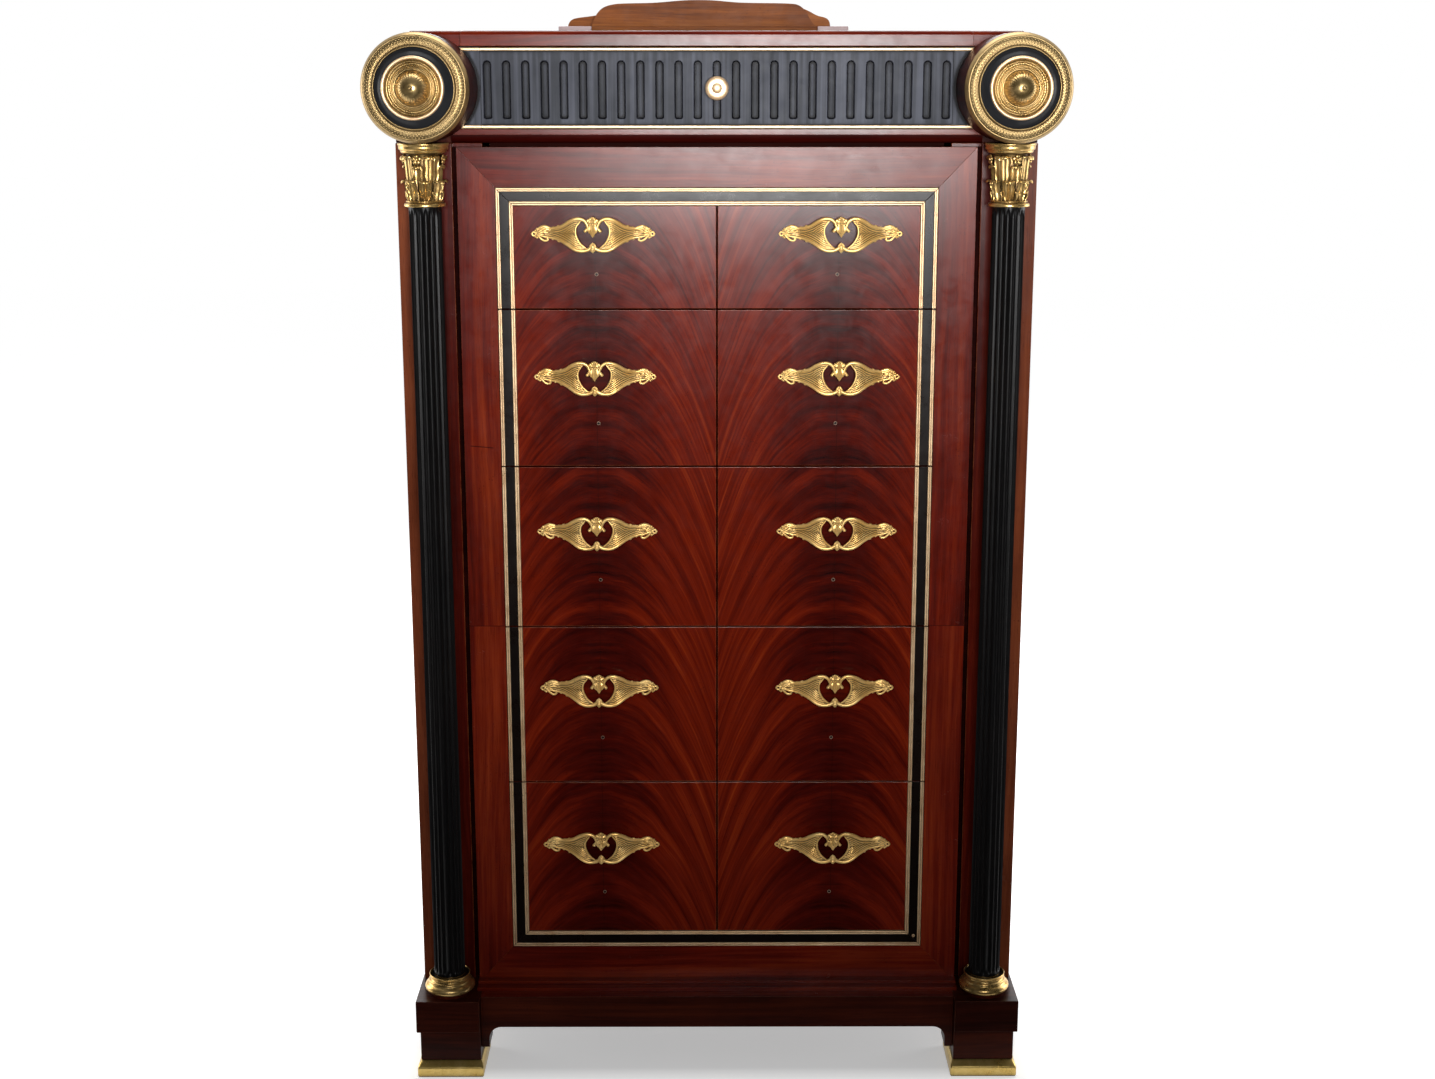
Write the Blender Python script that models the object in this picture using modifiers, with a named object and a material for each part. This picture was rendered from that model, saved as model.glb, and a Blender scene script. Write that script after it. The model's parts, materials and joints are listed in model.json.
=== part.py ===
# Tall accent chest in the Empire taste: ten drawers in two columns, a frieze drawer,
# two black columns with gilt mounts, end roundels and a low plinth. Metres, +Z up, front towards -Y.

import math

import bmesh
import bpy
from mathutils import Matrix, Vector

# Case
CASE_W = 0.942
CASE_D = 0.400
SIDE_T = 0.020
BACK_T = 0.0075
PIER_W = 0.082
PIER_T = 0.020
PIER_TONGUE_W = 0.044
PIER_TONGUE_T = 0.0085
CAP_H = 0.0197
CAP_SIDE_INSET = 0.0005
SEAT = 0.0003
WELD = 0.00001

# Plinth
PLINTH_H = 0.127
PLINTH_CLEAR_H = 0.0745
BLOCK_W = 0.100
BLOCK_D = 0.085
BLOCK_SIDE_PROUD = 0.0032
BLOCK_BACK_D = 0.030
LEG_SIDE_INSET = 0.0054
LEG_FRONT_INSET = 0.006
LEG_BACK_D = 0.012
SABOT_H = 0.0252
SABOT_FACE_H = 0.0173
SABOT_FRONT_PROUD = 0.011
SABOT_SIDE_PROUD = 0.0050
APRON_FRONT = 0.066
APRON_T = 0.046
APRON_BRACKET_W = 0.0125
APRON_BRACKET_H = 0.034
APRON_CORNER_R = 0.019
APRON_CORNER_STEPS = 6
MOULD_OVER = 0.0068
MOULD_1_H = 0.0054
MOULD_1_OUT = 0.0317
MOULD_2_H = 0.0038
MOULD_2_OUT = 0.015
MOULD_CORE_GAP = 0.005
PLINTH_RAIL_T = 0.0195
PLINTH_BOARD_T = 0.012
PLINTH_SIDE_T = 0.020
REAR_LEG_W = 0.070
REAR_LEG_D = 0.070

# Mitred front frame and its ebonised bands
PANEL_PROUD = 0.015
PANEL_T = 0.020
PANEL_GAP = 0.0085
FRAME_LIFT = 0.0015
FRAME_STILE_W = 0.0549
FRAME_BOTTOM_H = 0.061
FRAME_TOP_H = 0.0577
FRAME_TOP_GAP = 0.0056
BAND_W = 0.0266
STRING_W = 0.0066
STRING_OUT = 0.0012
STRING_SUNK = 0.004
STRING_INSET = 0.0002
BAND_GAP = 0.0004

# Drawers, the rows counted from the top
DRAWERS_H = 1.1433
SEAM = 0.0024
FRONT_SIDE_GAP = 0.0005
FRONT_EDGE_GAP = 0.0006
FRONT_EDGE_R = 0.0008
BOARD_T = 0.012
BAY_GAP = 0.0010
BAY_FLOOR_STEP = 0.0005
BOX_WALL = 0.011
BOX_BASE = 0.008
BOX_FLOOR_GAP = 0.0005
BOX_TOP_GAP = 0.012
BOX_BACK_GAP = 0.022
RACK_WALL = 0.014
RACK_SIDE_GAP = 0.0061

# Frieze
FRIEZE_SIDE_STEP = 0.0265
FRIEZE_PROUD = 0.005
FRIEZE_H = 0.1171
FRIEZE_WALL = 0.018
FRIEZE_RETURN_GAP = 0.0027
FRIEZE_RETURN_T = 0.020
FRIEZE_FRONT_GAP = 0.0015
FRIEZE_FRONT_T = 0.018
FRIEZE_LOW_GAP = 0.0007
FRIEZE_TOP_GAP = 0.0014
FRIEZE_BOX_INSET = 0.008
FRIEZE_BOX_D = 0.310
FRIEZE_BOX_TOP_GAP = 0.020
FRIEZE_BEAD_H = 0.0050
FRIEZE_BEAD_OUT = 0.0012
FLUTE_COUNT = 25
FLUTE_W = 0.0127
FLUTE_PITCH = 0.0273
FLUTE_DEPTH = 0.004
FLUTE_LOW = 0.0132
FLUTE_H = 0.084
FLUTE_CORNER_R = 0.003
FLUTE_TOP_STEPS = 6
KNOB_R = 0.0172
KNOB_LEN = 0.024
KNOB_STEPS = 24
KNOB_Z = 0.0575

# Rail and cove under the frieze
RAIL_H = 0.0078
RAIL_END_GAP = 0.0005
COVE_DEPTH = 0.009
COVE_STEPS = 5

# Top board and crest
TOP_H = 0.0217
TOP_OVER = 0.012
TOP_OVER_GAP = 0.0045
CREST_W = 0.3835
CREST_H = 0.0410
CREST_T = 0.020
CREST_CENTRE = -0.0067
CREST_BACK_GAP = 0.030
CREST_PLATE_W = 0.4626
CREST_PLATE_H = 0.0140
CREST_PLATE_D = 0.062
CREST_PLATE_CENTRE = -0.0204
CREST_STEP_W = 0.4250
CREST_STEP_H = 0.0160
CREST_STEP_T = 0.018
CREST_STEP_CENTRE = -0.0265
CREST_STEP_R = 0.010
CREST_STEP_STEPS = 4

# Columns
SHAFT_R = 0.0245
SHAFT_TOP_R = 0.0238
SHAFT_FLUTES = 20
SHAFT_FLUTE_DEPTH = 0.0016
BASE_R = 0.0393
BASE_H = 0.0324
BASE_STEPS = 24
CAPITAL_H = 0.0903
CAPITAL_R = 0.0370
LEAF_COUNT = 8
LEAF_STEPS = 32

# Roundels
ROUNDEL_R = 0.077
ROUNDEL_LEN = 0.1027
ROUNDEL_STEPS = 36
ROSETTE_STEPS = 26
ROUNDEL_EDGE_R = 0.004
ROUNDEL_RECESS = 0.003
ROSETTE_R = 0.0732
ROSETTE_H = 0.051
ROSETTE_SEAT = 0.0003

# Handles
HANDLE_HALF = 0.0910
HANDLE_T = 0.0050
HANDLE_BOW = 0.0150
HANDLE_X = 0.1820
HANDLE_ARCH_SHARE = 0.30
HANDLE_FLAT_SHARE = 0.69
HANDLE_1_DROP = 0.0402
HANDLE_2_DROP = 0.1002
HANDLE_3_DROP = 0.0996
HANDLE_4_DROP = 0.0972
HANDLE_5_DROP = 0.1030

# The rows' shares of the drawers' whole height
ROW_SHARES = (0.1329, 0.2076, 0.2194, 0.2205, 0.2196)

# Outlines as shares of the piece's own half width, radius or height
HANDLE_TOP_SHARES = ((1.000, 0.000), (0.975, 0.060), (0.930, 0.081), (0.888, 0.056), (0.850, 0.118),
                     (0.790, 0.128), (0.690, 0.088), (0.600, 0.096), (0.517, 0.112), (0.420, 0.175),
                     (0.325, 0.226), (0.251, 0.244), (0.177, 0.232), (0.125, 0.192), (0.088, 0.140),
                     (0.078, 0.215), (0.040, 0.272), (0.000, 0.285))
HANDLE_LOW_SHARES = ((0.975, -0.055), (0.930, -0.074), (0.888, -0.046), (0.840, -0.100), (0.745, -0.122),
                     (0.690, -0.102), (0.560, -0.110), (0.450, -0.168), (0.340, -0.242), (0.251, -0.280),
                     (0.177, -0.286), (0.103, -0.273), (0.040, -0.256), (0.030, -0.295), (0.000, -0.312))
HANDLE_EYE_SHARES = ((0.022, -0.145), (0.040, -0.197), (0.118, -0.203), (0.190, -0.160), (0.245, -0.092),
                     (0.276, 0.020), (0.269, 0.111), (0.235, 0.158), (0.185, 0.172), (0.135, 0.145),
                     (0.114, 0.100), (0.129, 0.062), (0.078, 0.046), (0.026, -0.022), (0.014, -0.070),
                     (0.000, -0.090))
CREST_TOP_SHARES = ((-1.000, 0.000), (-1.000, 0.620), (-0.965, 0.790), (-0.895, 0.920), (-0.790, 0.975),
                    (-0.620, 0.965), (-0.390, 0.950), (-0.300, 0.985), (-0.180, 1.000), (0.060, 1.000),
                    (0.200, 0.985), (0.290, 0.940), (0.500, 0.935), (0.700, 0.925), (0.800, 0.840),
                    (0.880, 0.690), (0.940, 0.540), (1.000, 0.440), (1.000, 0.000))
BASE_SHARES = ((0.000, 1.000), (0.650, 1.000), (0.665, 0.830), (0.740, 0.830), (0.765, 0.985), (0.800, 1.000),
               (0.830, 0.970), (0.775, 0.860), (0.765, 0.780), (0.835, 0.700), (0.845, 0.620), (0.925, 0.500),
               (1.000, 0.400), (1.000, 0.270), (0.940, 0.170), (0.930, 0.000), (0.000, 0.000))
KNOB_SHARES = ((0.000, 1.000), (0.340, 0.985), (0.420, 0.930), (0.620, 0.945), (0.880, 0.900), (1.000, 0.790),
               (0.960, 0.660), (0.640, 0.560), (0.420, 0.440), (0.380, 0.180), (0.560, 0.080),
               (0.560, 0.000), (0.000, 0.000))
ROSETTE_SHARES = ((0.000, 1.000), (0.055, 0.985), (0.085, 0.930), (0.180, 0.860), (0.265, 0.750), (0.325, 0.580),
                  (0.345, 0.480), (0.400, 0.450), (0.430, 0.490), (0.470, 0.480), (0.500, 0.450), (0.545, 0.530),
                  (0.590, 0.530), (0.610, 0.470), (0.690, 0.350), (0.755, 0.280), (0.775, 0.310), (0.805, 0.300),
                  (0.820, 0.240), (0.890, 0.270), (0.950, 0.220), (0.985, 0.150), (1.000, 0.080),
                  (1.000, 0.000), (0.000, 0.000))
CAPITAL_SHARES = ((0.000, 0.800, 0.000), (0.060, 0.810, 0.000), (0.075, 0.650, 0.000), (0.120, 0.640, 0.030),
                  (0.300, 0.660, 0.090), (0.400, 0.700, 0.130), (0.430, 0.690, 0.060), (0.620, 0.720, 0.130),
                  (0.780, 0.780, 0.150), (0.830, 0.820, 0.060), (0.850, 0.950, 0.000), (0.890, 0.960, 0.000),
                  (0.900, 1.000, 0.000), (0.955, 1.000, 0.000), (0.965, 0.860, 0.000), (1.000, 0.860, 0.000))

# Places that follow from the sizes
TIP_OUT = ROUNDEL_LEN + FRIEZE_PROUD + SEAT + ROSETTE_H - ROUNDEL_RECESS + ROSETTE_SEAT
FRONT_Y = (TIP_OUT - CASE_D) / 2
HALF_W = CASE_W / 2
FRAME_HALF_W = HALF_W - PIER_W - PANEL_GAP
OPEN_HALF_W = FRAME_HALF_W - FRAME_STILE_W
FRAME_Z0 = PLINTH_H + FRAME_LIFT
OPEN_Z0 = FRAME_Z0 + FRAME_BOTTOM_H
ROWS_Z0 = OPEN_Z0 + BAND_W
ROW_HEIGHTS = tuple(share * DRAWERS_H for share in ROW_SHARES)
ROWS_Z1 = ROWS_Z0 + sum(ROW_HEIGHTS)
OPEN_Z1 = ROWS_Z1 + BAND_W
FRAME_Z1 = OPEN_Z1 + FRAME_TOP_H
CAP_Z0 = FRAME_Z1 + FRAME_TOP_GAP
CAP_Z1 = CAP_Z0 + CAP_H
FRIEZE_Z0 = CAP_Z1 + SEAT
FRIEZE_Z1 = FRIEZE_Z0 + FRIEZE_H
TOP_Z0 = FRIEZE_Z1 + SEAT
TOP_Z1 = TOP_Z0 + TOP_H
HANDLE_DROPS = (HANDLE_1_DROP, HANDLE_2_DROP, HANDLE_3_DROP, HANDLE_4_DROP, HANDLE_5_DROP)
BLOCK_X1 = HALF_W + BLOCK_SIDE_PROUD
BLOCK_X0 = BLOCK_X1 - BLOCK_W
COLUMN_X = (BLOCK_X0 + BLOCK_X1) / 2
COLUMN_Y = FRONT_Y - BLOCK_D / 2
PANEL_Y0 = FRONT_Y - PANEL_PROUD
PANEL_Y1 = PANEL_Y0 + PANEL_T
RACK_Y0 = PANEL_Y1 + SEAT
BACK_Y0 = FRONT_Y + CASE_D - BACK_T
RACK_Y1 = BACK_Y0 - SEAT
RACK_HALF_W = OPEN_HALF_W - RACK_SIDE_GAP + RACK_WALL
FRIEZE_Y0 = FRONT_Y - FRIEZE_PROUD
ROUNDEL_Z = (FRIEZE_Z0 + FRIEZE_Z1) / 2
CAPITAL_Z1 = ROUNDEL_Z - ROUNDEL_R - SEAT
CAPITAL_Z0 = CAPITAL_Z1 - CAPITAL_H
BASE_Z0 = PLINTH_H + SEAT
SHAFT_Z0 = BASE_Z0 + BASE_H + SEAT
SHAFT_Z1 = CAPITAL_Z0 - SEAT
OVERRUN = BOARD_T

for old in list(bpy.data.objects):
    bpy.data.objects.remove(old, do_unlink=True)

chest = bpy.data.collections.new("accent_chest")
cutters = bpy.data.collections.new("accent_chest_cutters")
for group in (chest, cutters):
    bpy.context.scene.collection.children.link(group)
cutters.hide_render = True


def material(name, colour, roughness, metallic):
    mat = bpy.data.materials.new(name)
    mat.use_nodes = True
    shader = mat.node_tree.nodes["Principled BSDF"]
    shader.inputs["Base Color"].default_value = (*colour, 1)
    shader.inputs["Roughness"].default_value = roughness
    shader.inputs["Metallic"].default_value = metallic
    mat.diffuse_color = (*colour, 1)
    return mat


mahogany = material("mahogany", (0.150, 0.030, 0.018), 0.28, 0)
flame = material("flame_veneer", (0.190, 0.026, 0.014), 0.22, 0)
ebony = material("ebonised_wood", (0.014, 0.015, 0.018), 0.32, 0)
gilt = material("gilt_bronze", (0.720, 0.470, 0.160), 0.30, 1)
pale_gilt = material("pale_gilt", (0.860, 0.780, 0.520), 0.28, 1)
inside = material("inner_wood", (0.420, 0.270, 0.150), 0.55, 0)
crest_wood = material("crest_wood", (0.230, 0.075, 0.026), 0.30, 0)


def place(name, mesh, mat, origin, cutter=False):
    """Make an object of a mesh that is given in world places, with its origin where asked."""
    mesh.name = name
    mesh.transform(Matrix.Translation(-Vector(origin)))
    obj = bpy.data.objects.new(name, mesh)
    obj.location = origin
    mesh.materials.clear()
    mesh.materials.append(mat)
    (cutters if cutter else chest).objects.link(obj)
    if cutter:
        obj.hide_render = True
        obj.display_type = "WIRE"
    return obj


def box_mesh(x0, x1, y0, y1, z0, z1):
    """A box from its six faces' places."""
    mesh = bpy.data.meshes.new("box")
    form = bmesh.new()
    bmesh.ops.create_cube(form, size=1)
    size = Matrix.Diagonal((x1 - x0, y1 - y0, z1 - z0, 1))
    form.transform(Matrix.Translation(((x0 + x1) / 2, (y0 + y1) / 2, (z0 + z1) / 2)) @ size)
    form.to_mesh(mesh)
    form.free()
    return mesh


def box(name, mat, x0, x1, y0, y1, z0, z1, cutter=False):
    centre = ((x0 + x1) / 2, (y0 + y1) / 2, (z0 + z1) / 2)
    return place(name, box_mesh(x0, x1, y0, y1, z0, z1), mat, centre, cutter)


def prism_mesh(loops, low, high, axis):
    """Fill flat outlines and draw them out along X, Y or Z. Inner loops are holes."""
    curve = bpy.data.curves.new("outline", "CURVE")
    curve.dimensions = "2D"
    curve.fill_mode = "BOTH"
    curve.extrude = (high - low) / 2
    for loop in loops:
        spline = curve.splines.new("POLY")
        spline.points.add(len(loop) - 1)
        for point, (u, v) in zip(spline.points, loop):
            point.co = (u, v, 0, 1)
        spline.use_cyclic_u = True
    holder = bpy.data.objects.new("outline", curve)
    mesh = bpy.data.meshes.new_from_object(holder)
    bpy.data.objects.remove(holder)
    bpy.data.curves.remove(curve)
    middle = (low + high) / 2
    if axis == "Y":
        turn = Matrix.Translation((0, middle, 0)) @ Matrix.Rotation(math.pi / 2, 4, "X")
    elif axis == "X":
        swap = Matrix(((0, 0, 1, 0), (1, 0, 0, 0), (0, 1, 0, 0), (0, 0, 0, 1)))
        turn = Matrix.Translation((middle, 0, 0)) @ swap
    else:
        turn = Matrix.Translation((0, 0, middle))
    mesh.transform(turn)
    form = bmesh.new()
    form.from_mesh(mesh)
    bmesh.ops.remove_doubles(form, verts=form.verts, dist=WELD)
    bmesh.ops.recalc_face_normals(form, faces=form.faces)
    form.to_mesh(mesh)
    form.free()
    return mesh


def prism(name, mat, loops, low, high, axis, origin, cutter=False):
    return place(name, prism_mesh(loops, low, high, axis), mat, origin, cutter)


def boolean(obj, other, operation):
    mod = obj.modifiers.new(operation.lower(), "BOOLEAN")
    mod.operation = operation
    mod.solver = "EXACT"
    mod.object = other
    return mod


def round_shading(mesh, degrees=35):
    mesh.shade_smooth()
    mesh.set_sharp_from_angle(angle=math.radians(degrees))


def turned(name, mat, shares, radius, height, steps, origin, tip_axis="Z", seat=0):
    """Turn a profile round its own axis. The shares run down the outer side, top to bottom."""
    mesh = bpy.data.meshes.new(name)
    points = [(r * radius, 0, seat + h * height) for r, h in shares]
    edges = [(i, i + 1) for i in range(len(points) - 1)]
    mesh.from_pydata(points, edges, [])
    obj = bpy.data.objects.new(name, mesh)
    obj.location = origin
    if tip_axis == "-Y":
        obj.rotation_euler = (math.pi / 2, 0, 0)
    mesh.materials.append(mat)
    chest.objects.link(obj)
    mod = obj.modifiers.new("turn", "SCREW")
    mod.steps = steps
    mod.render_steps = steps
    mod.use_merge_vertices = True
    mod.merge_threshold = WELD
    mod.use_smooth_shade = True
    return obj


def rectangle(x0, x1, z0, z1):
    return [(x0, z0), (x1, z0), (x1, z1), (x0, z1)]


# Sides with their piers: one outline in plan for each side
def side(name, sign):
    inner = HALF_W - PIER_W - PIER_TONGUE_W
    plan = [(HALF_W - PIER_W, FRONT_Y), (HALF_W, FRONT_Y), (HALF_W, FRONT_Y + CASE_D),
            (HALF_W - SIDE_T, FRONT_Y + CASE_D), (HALF_W - SIDE_T, FRONT_Y + PIER_T),
            (inner, FRONT_Y + PIER_T), (inner, FRONT_Y + PIER_T - PIER_TONGUE_T),
            (HALF_W - PIER_W, FRONT_Y + PIER_T - PIER_TONGUE_T)]
    plan = [(sign * x, y) for x, y in plan]
    z0 = PLINTH_H + SEAT
    z1 = CAP_Z0 - SEAT
    return prism(name, mahogany, [plan], z0, z1, "Z", (sign * HALF_W, FRONT_Y, z0))


side("side_left", -1)
side("side_right", 1)

# The mitred frame round the drawers
frame = prism("face_frame", mahogany,
              [rectangle(-FRAME_HALF_W, FRAME_HALF_W, FRAME_Z0, FRAME_Z1),
               rectangle(-OPEN_HALF_W, OPEN_HALF_W, OPEN_Z0, OPEN_Z1)],
              PANEL_Y0, PANEL_Y1, "Y", (0, PANEL_Y0, FRAME_Z0))


def band(name, z_out, z_in):
    """A mitred ebonised rail with a raised bead along each long edge."""
    up = 1 if z_out > z_in else -1
    half_out = OPEN_HALF_W - BAND_GAP
    half_in = OPEN_HALF_W - BAND_W
    z_edge = z_out - up * BAND_GAP
    drop = (half_out - half_in) - abs(z_edge - z_in)
    half_top = half_out - drop
    loop = [(-half_in, z_in), (half_in, z_in), (half_top, z_edge), (-half_top, z_edge)]
    obj = prism(name, ebony, [loop], PANEL_Y0, PANEL_Y1, "Y", (0, PANEL_Y0, z_in))
    loops = []
    for z_a, z_b in ((z_in + up * STRING_INSET, z_in + up * STRING_W),
                     (z_edge - up * (STRING_W - BAND_GAP), z_edge - up * STRING_INSET)):
        x_a = half_in + abs(z_a - z_in) - STRING_INSET * 2
        x_b = half_in + abs(z_b - z_in) - STRING_INSET * 2
        loops.append([(-x_a, z_a), (x_a, z_a), (x_b, z_b), (-x_b, z_b)])
    beads = prism(name + "_beads", gilt, loops, PANEL_Y0 - STRING_OUT, PANEL_Y0 + STRING_SUNK, "Y",
                  (0, PANEL_Y0, z_in), cutter=True)
    boolean(obj, beads, "UNION")
    return obj


band("band_top", OPEN_Z1, ROWS_Z1)
band("band_bottom", OPEN_Z0, ROWS_Z0)

# The rack that carries the drawers: walls, partition and boards glued into one
row_tops = []
level = ROWS_Z1
for height in ROW_HEIGHTS:
    row_tops.append(level)
    level -= height
bay_x1 = OPEN_HALF_W - RACK_SIDE_GAP
holes = []
rack_z0 = PLINTH_H + SEAT
floor_z0 = ROWS_Z0 + BAY_FLOOR_STEP - BOARD_T
for sign in (-1, 1):
    xs = sorted((sign * BOARD_T / 2, sign * bay_x1))
    for row, height in enumerate(ROW_HEIGHTS):
        low = row_tops[row] - height
        z_low = low + BOARD_T / 2 if row < len(ROW_HEIGHTS) - 1 else low + BAY_FLOOR_STEP
        z_high = row_tops[row] - BOARD_T / 2 if row else FRAME_Z1 - BOARD_T / 2
        holes.append(rectangle(xs[0], xs[1], z_low, z_high))
cap_half = HALF_W - CAP_SIDE_INSET
outer = [(BOARD_T / 2, rack_z0), (BOARD_T / 2, floor_z0), (bay_x1, floor_z0), (bay_x1, rack_z0),
         (RACK_HALF_W, rack_z0), (RACK_HALF_W, CAP_Z0), (cap_half, CAP_Z0), (cap_half, CAP_Z1)]
rack_outline = [(-x, z) for x, z in outer] + [(x, z) for x, z in reversed(outer)]
prism("inner_rack", inside, [rack_outline] + holes, RACK_Y0, RACK_Y1, "Y", (0, RACK_Y0, rack_z0))

box("back_panel", inside, -HALF_W + SIDE_T + SEAT, HALF_W - SIDE_T - SEAT, BACK_Y0, BACK_Y0 + BACK_T,
    rack_z0, CAP_Z0 - SEAT)


# Drawers
def drawer(tag, sign, row):
    """One drawer: veneered front with its share of the band, open box and cast handle."""
    z_top = row_tops[row]
    z_low = z_top - ROW_HEIGHTS[row]
    first = row == 0
    last = row == len(ROW_HEIGHTS) - 1
    top = z_top - (FRONT_EDGE_GAP if first else SEAM / 2)
    low = z_low + (FRONT_EDGE_GAP if last else SEAM / 2)
    x0 = SEAM / 2
    x1 = OPEN_HALF_W - FRONT_SIDE_GAP
    turn_x = OPEN_HALF_W - BAND_W + FRONT_EDGE_GAP / 2

    def edge(x, at, ear, up):
        return at + up * max(0, x - turn_x) if ear else at

    def bar(a, b):
        z0 = low + STRING_INSET
        z1 = top - STRING_INSET
        shape = [(a, edge(a, z0, last, -1)), (b, edge(b, z0, last, -1)),
                 (b, edge(b, z1, first, 1)), (a, edge(a, z1, first, 1))]
        return [(sign * x, z) for x, z in shape]

    outline = [(x0, low)] + [(turn_x, low)] * last + [(x1, edge(x1, low, last, -1))]
    outline += [(x1, edge(x1, top, first, 1))] + [(turn_x, top)] * first + [(x0, top)]
    outline = [(sign * x, z) for x, z in outline]
    origin = (sign * (x0 + x1) / 2, PANEL_Y0, (top + low) / 2)
    front = prism(tag + "_front", flame, [outline], PANEL_Y0, PANEL_Y1, "Y", origin)
    beads = [bar(turn_x, turn_x + STRING_W), bar(x1 - STRING_W + FRONT_SIDE_GAP, x1 - STRING_INSET)]
    bead = prism(tag + "_beads", gilt, beads, PANEL_Y0 - STRING_OUT, PANEL_Y0 + STRING_SUNK, "Y",
                 origin, cutter=True)
    boolean(front, bead, "UNION")

    floor = z_low + (BAY_FLOOR_STEP if last else BOARD_T / 2) + BOX_FLOOR_GAP
    roof = z_top - (BAY_FLOOR_STEP if first else BOARD_T / 2) - BOX_TOP_GAP
    bx = sorted((sign * (BOARD_T / 2 + BAY_GAP), sign * (bay_x1 - BAY_GAP)))
    by = (PANEL_Y1 + SEAT, RACK_Y1 - BOX_BACK_GAP)
    body = box(tag + "_box", inside, bx[0], bx[1], by[0], by[1], floor, roof)
    hollow = box(tag + "_hollow", inside, bx[0] + BOX_WALL, bx[1] - BOX_WALL, by[0] + BOX_WALL,
                 by[1] - BOX_WALL, floor + BOX_BASE, roof + OVERRUN, cutter=True)
    boolean(body, hollow, "DIFFERENCE")
    handle(tag + "_handle", sign * HANDLE_X, z_top - HANDLE_DROPS[row])


def bow(x):
    """How far the casting stands forward: level in the middle, sloping down to the flat tips."""
    slope = (HANDLE_FLAT_SHARE - abs(x) / HANDLE_HALF) / (HANDLE_FLAT_SHARE - HANDLE_ARCH_SHARE)
    return HANDLE_BOW * min(1, max(0, slope))


def cut_at(shares, share):
    """The height at which an outline, given from the tip inwards, passes a distance from the middle."""
    for (xa, za), (xb, zb) in zip(shares, shares[1:]):
        if xb <= share <= xa:
            return za + (zb - za) * (xa - share) / (xa - xb)
    return 0


def handle(name, x_mid, z_mid):
    """A flat casting cut out along its outline, bent into an arch and given its thickness."""
    half = HANDLE_HALF
    top_in = (HANDLE_ARCH_SHARE, cut_at(HANDLE_TOP_SHARES, HANDLE_ARCH_SHARE))
    top_out = (HANDLE_FLAT_SHARE, cut_at(HANDLE_TOP_SHARES, HANDLE_FLAT_SHARE))
    low_in = (HANDLE_ARCH_SHARE, cut_at(HANDLE_LOW_SHARES, HANDLE_ARCH_SHARE))
    low_out = (HANDLE_FLAT_SHARE, cut_at(HANDLE_LOW_SHARES, HANDLE_FLAT_SHARE))

    def between(shares, low, high):
        return [point for point in shares if low < point[0] < high]

    def both(points):
        return list(points) + [(-x, z) for x, z in reversed(points) if x > 0]

    crown = both([top_in] + between(HANDLE_TOP_SHARES, -1, HANDLE_ARCH_SHARE))
    keel = both([low_in] + between(HANDLE_LOW_SHARES, -1, HANDLE_ARCH_SHARE))
    eye = both(HANDLE_EYE_SHARES)
    wing = [low_in] + between(HANDLE_LOW_SHARES, HANDLE_ARCH_SHARE, HANDLE_FLAT_SHARE)[::-1] + [low_out]
    wing += [top_out] + between(HANDLE_TOP_SHARES, HANDLE_ARCH_SHARE, HANDLE_FLAT_SHARE) + [top_in]
    tip = [low_out] + between(HANDLE_LOW_SHARES, HANDLE_FLAT_SHARE, 2)[::-1]
    tip += between(HANDLE_TOP_SHARES, HANDLE_FLAT_SHARE, 2) + [top_out]
    zones = [[crown + keel[::-1], eye]]
    for zone in (wing, tip):
        zones.append([zone])
        zones.append([[(-x, z) for x, z in zone]])
    form = bmesh.new()
    for zone in zones:
        loops = [[(x * half, z * half) for x, z in loop] for loop in zone]
        form.from_mesh(prism_mesh(loops, 0, 0, "Y"))
    bmesh.ops.remove_doubles(form, verts=form.verts, dist=WELD * 3)
    for face in form.faces:
        if face.normal.y > 0:
            face.normal_flip()
    back = PANEL_Y0 - SEAT
    for vertex in form.verts:
        vertex.co.y = back - bow(vertex.co.x)
    mesh = bpy.data.meshes.new(name)
    form.to_mesh(mesh)
    form.free()
    mesh.transform(Matrix.Translation((x_mid, 0, z_mid)))
    obj = place(name, mesh, gilt, (x_mid, back, z_mid))
    mod = obj.modifiers.new("thickness", "SOLIDIFY")
    mod.thickness = HANDLE_T
    mod.offset = 1
    return obj


for row in range(len(ROW_HEIGHTS)):
    drawer("drawer_%d_left" % (row + 1), -1, row)
    drawer("drawer_%d_right" % (row + 1), 1, row)

# Frieze case: sides, back and short front returns, one outline in plan
fx = HALF_W - FRIEZE_SIDE_STEP
fy0 = FRIEZE_Y0
fy1 = FRONT_Y + CASE_D
ret_x = COLUMN_X - ROUNDEL_R - FRIEZE_RETURN_GAP
half_plan = [(ret_x, fy0), (fx, fy0), (fx, fy1)]
inner_plan = [(fx - FRIEZE_WALL, fy1 - FRIEZE_WALL), (fx - FRIEZE_WALL, fy0 + FRIEZE_RETURN_T),
              (ret_x, fy0 + FRIEZE_RETURN_T)]
plan = half_plan + [(-x, y) for x, y in reversed(half_plan)]
plan += [(-x, y) for x, y in reversed(inner_plan)] + inner_plan
prism("frieze_case", mahogany, [plan], FRIEZE_Z0, FRIEZE_Z1, "Z", (0, fy0, FRIEZE_Z0))

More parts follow.
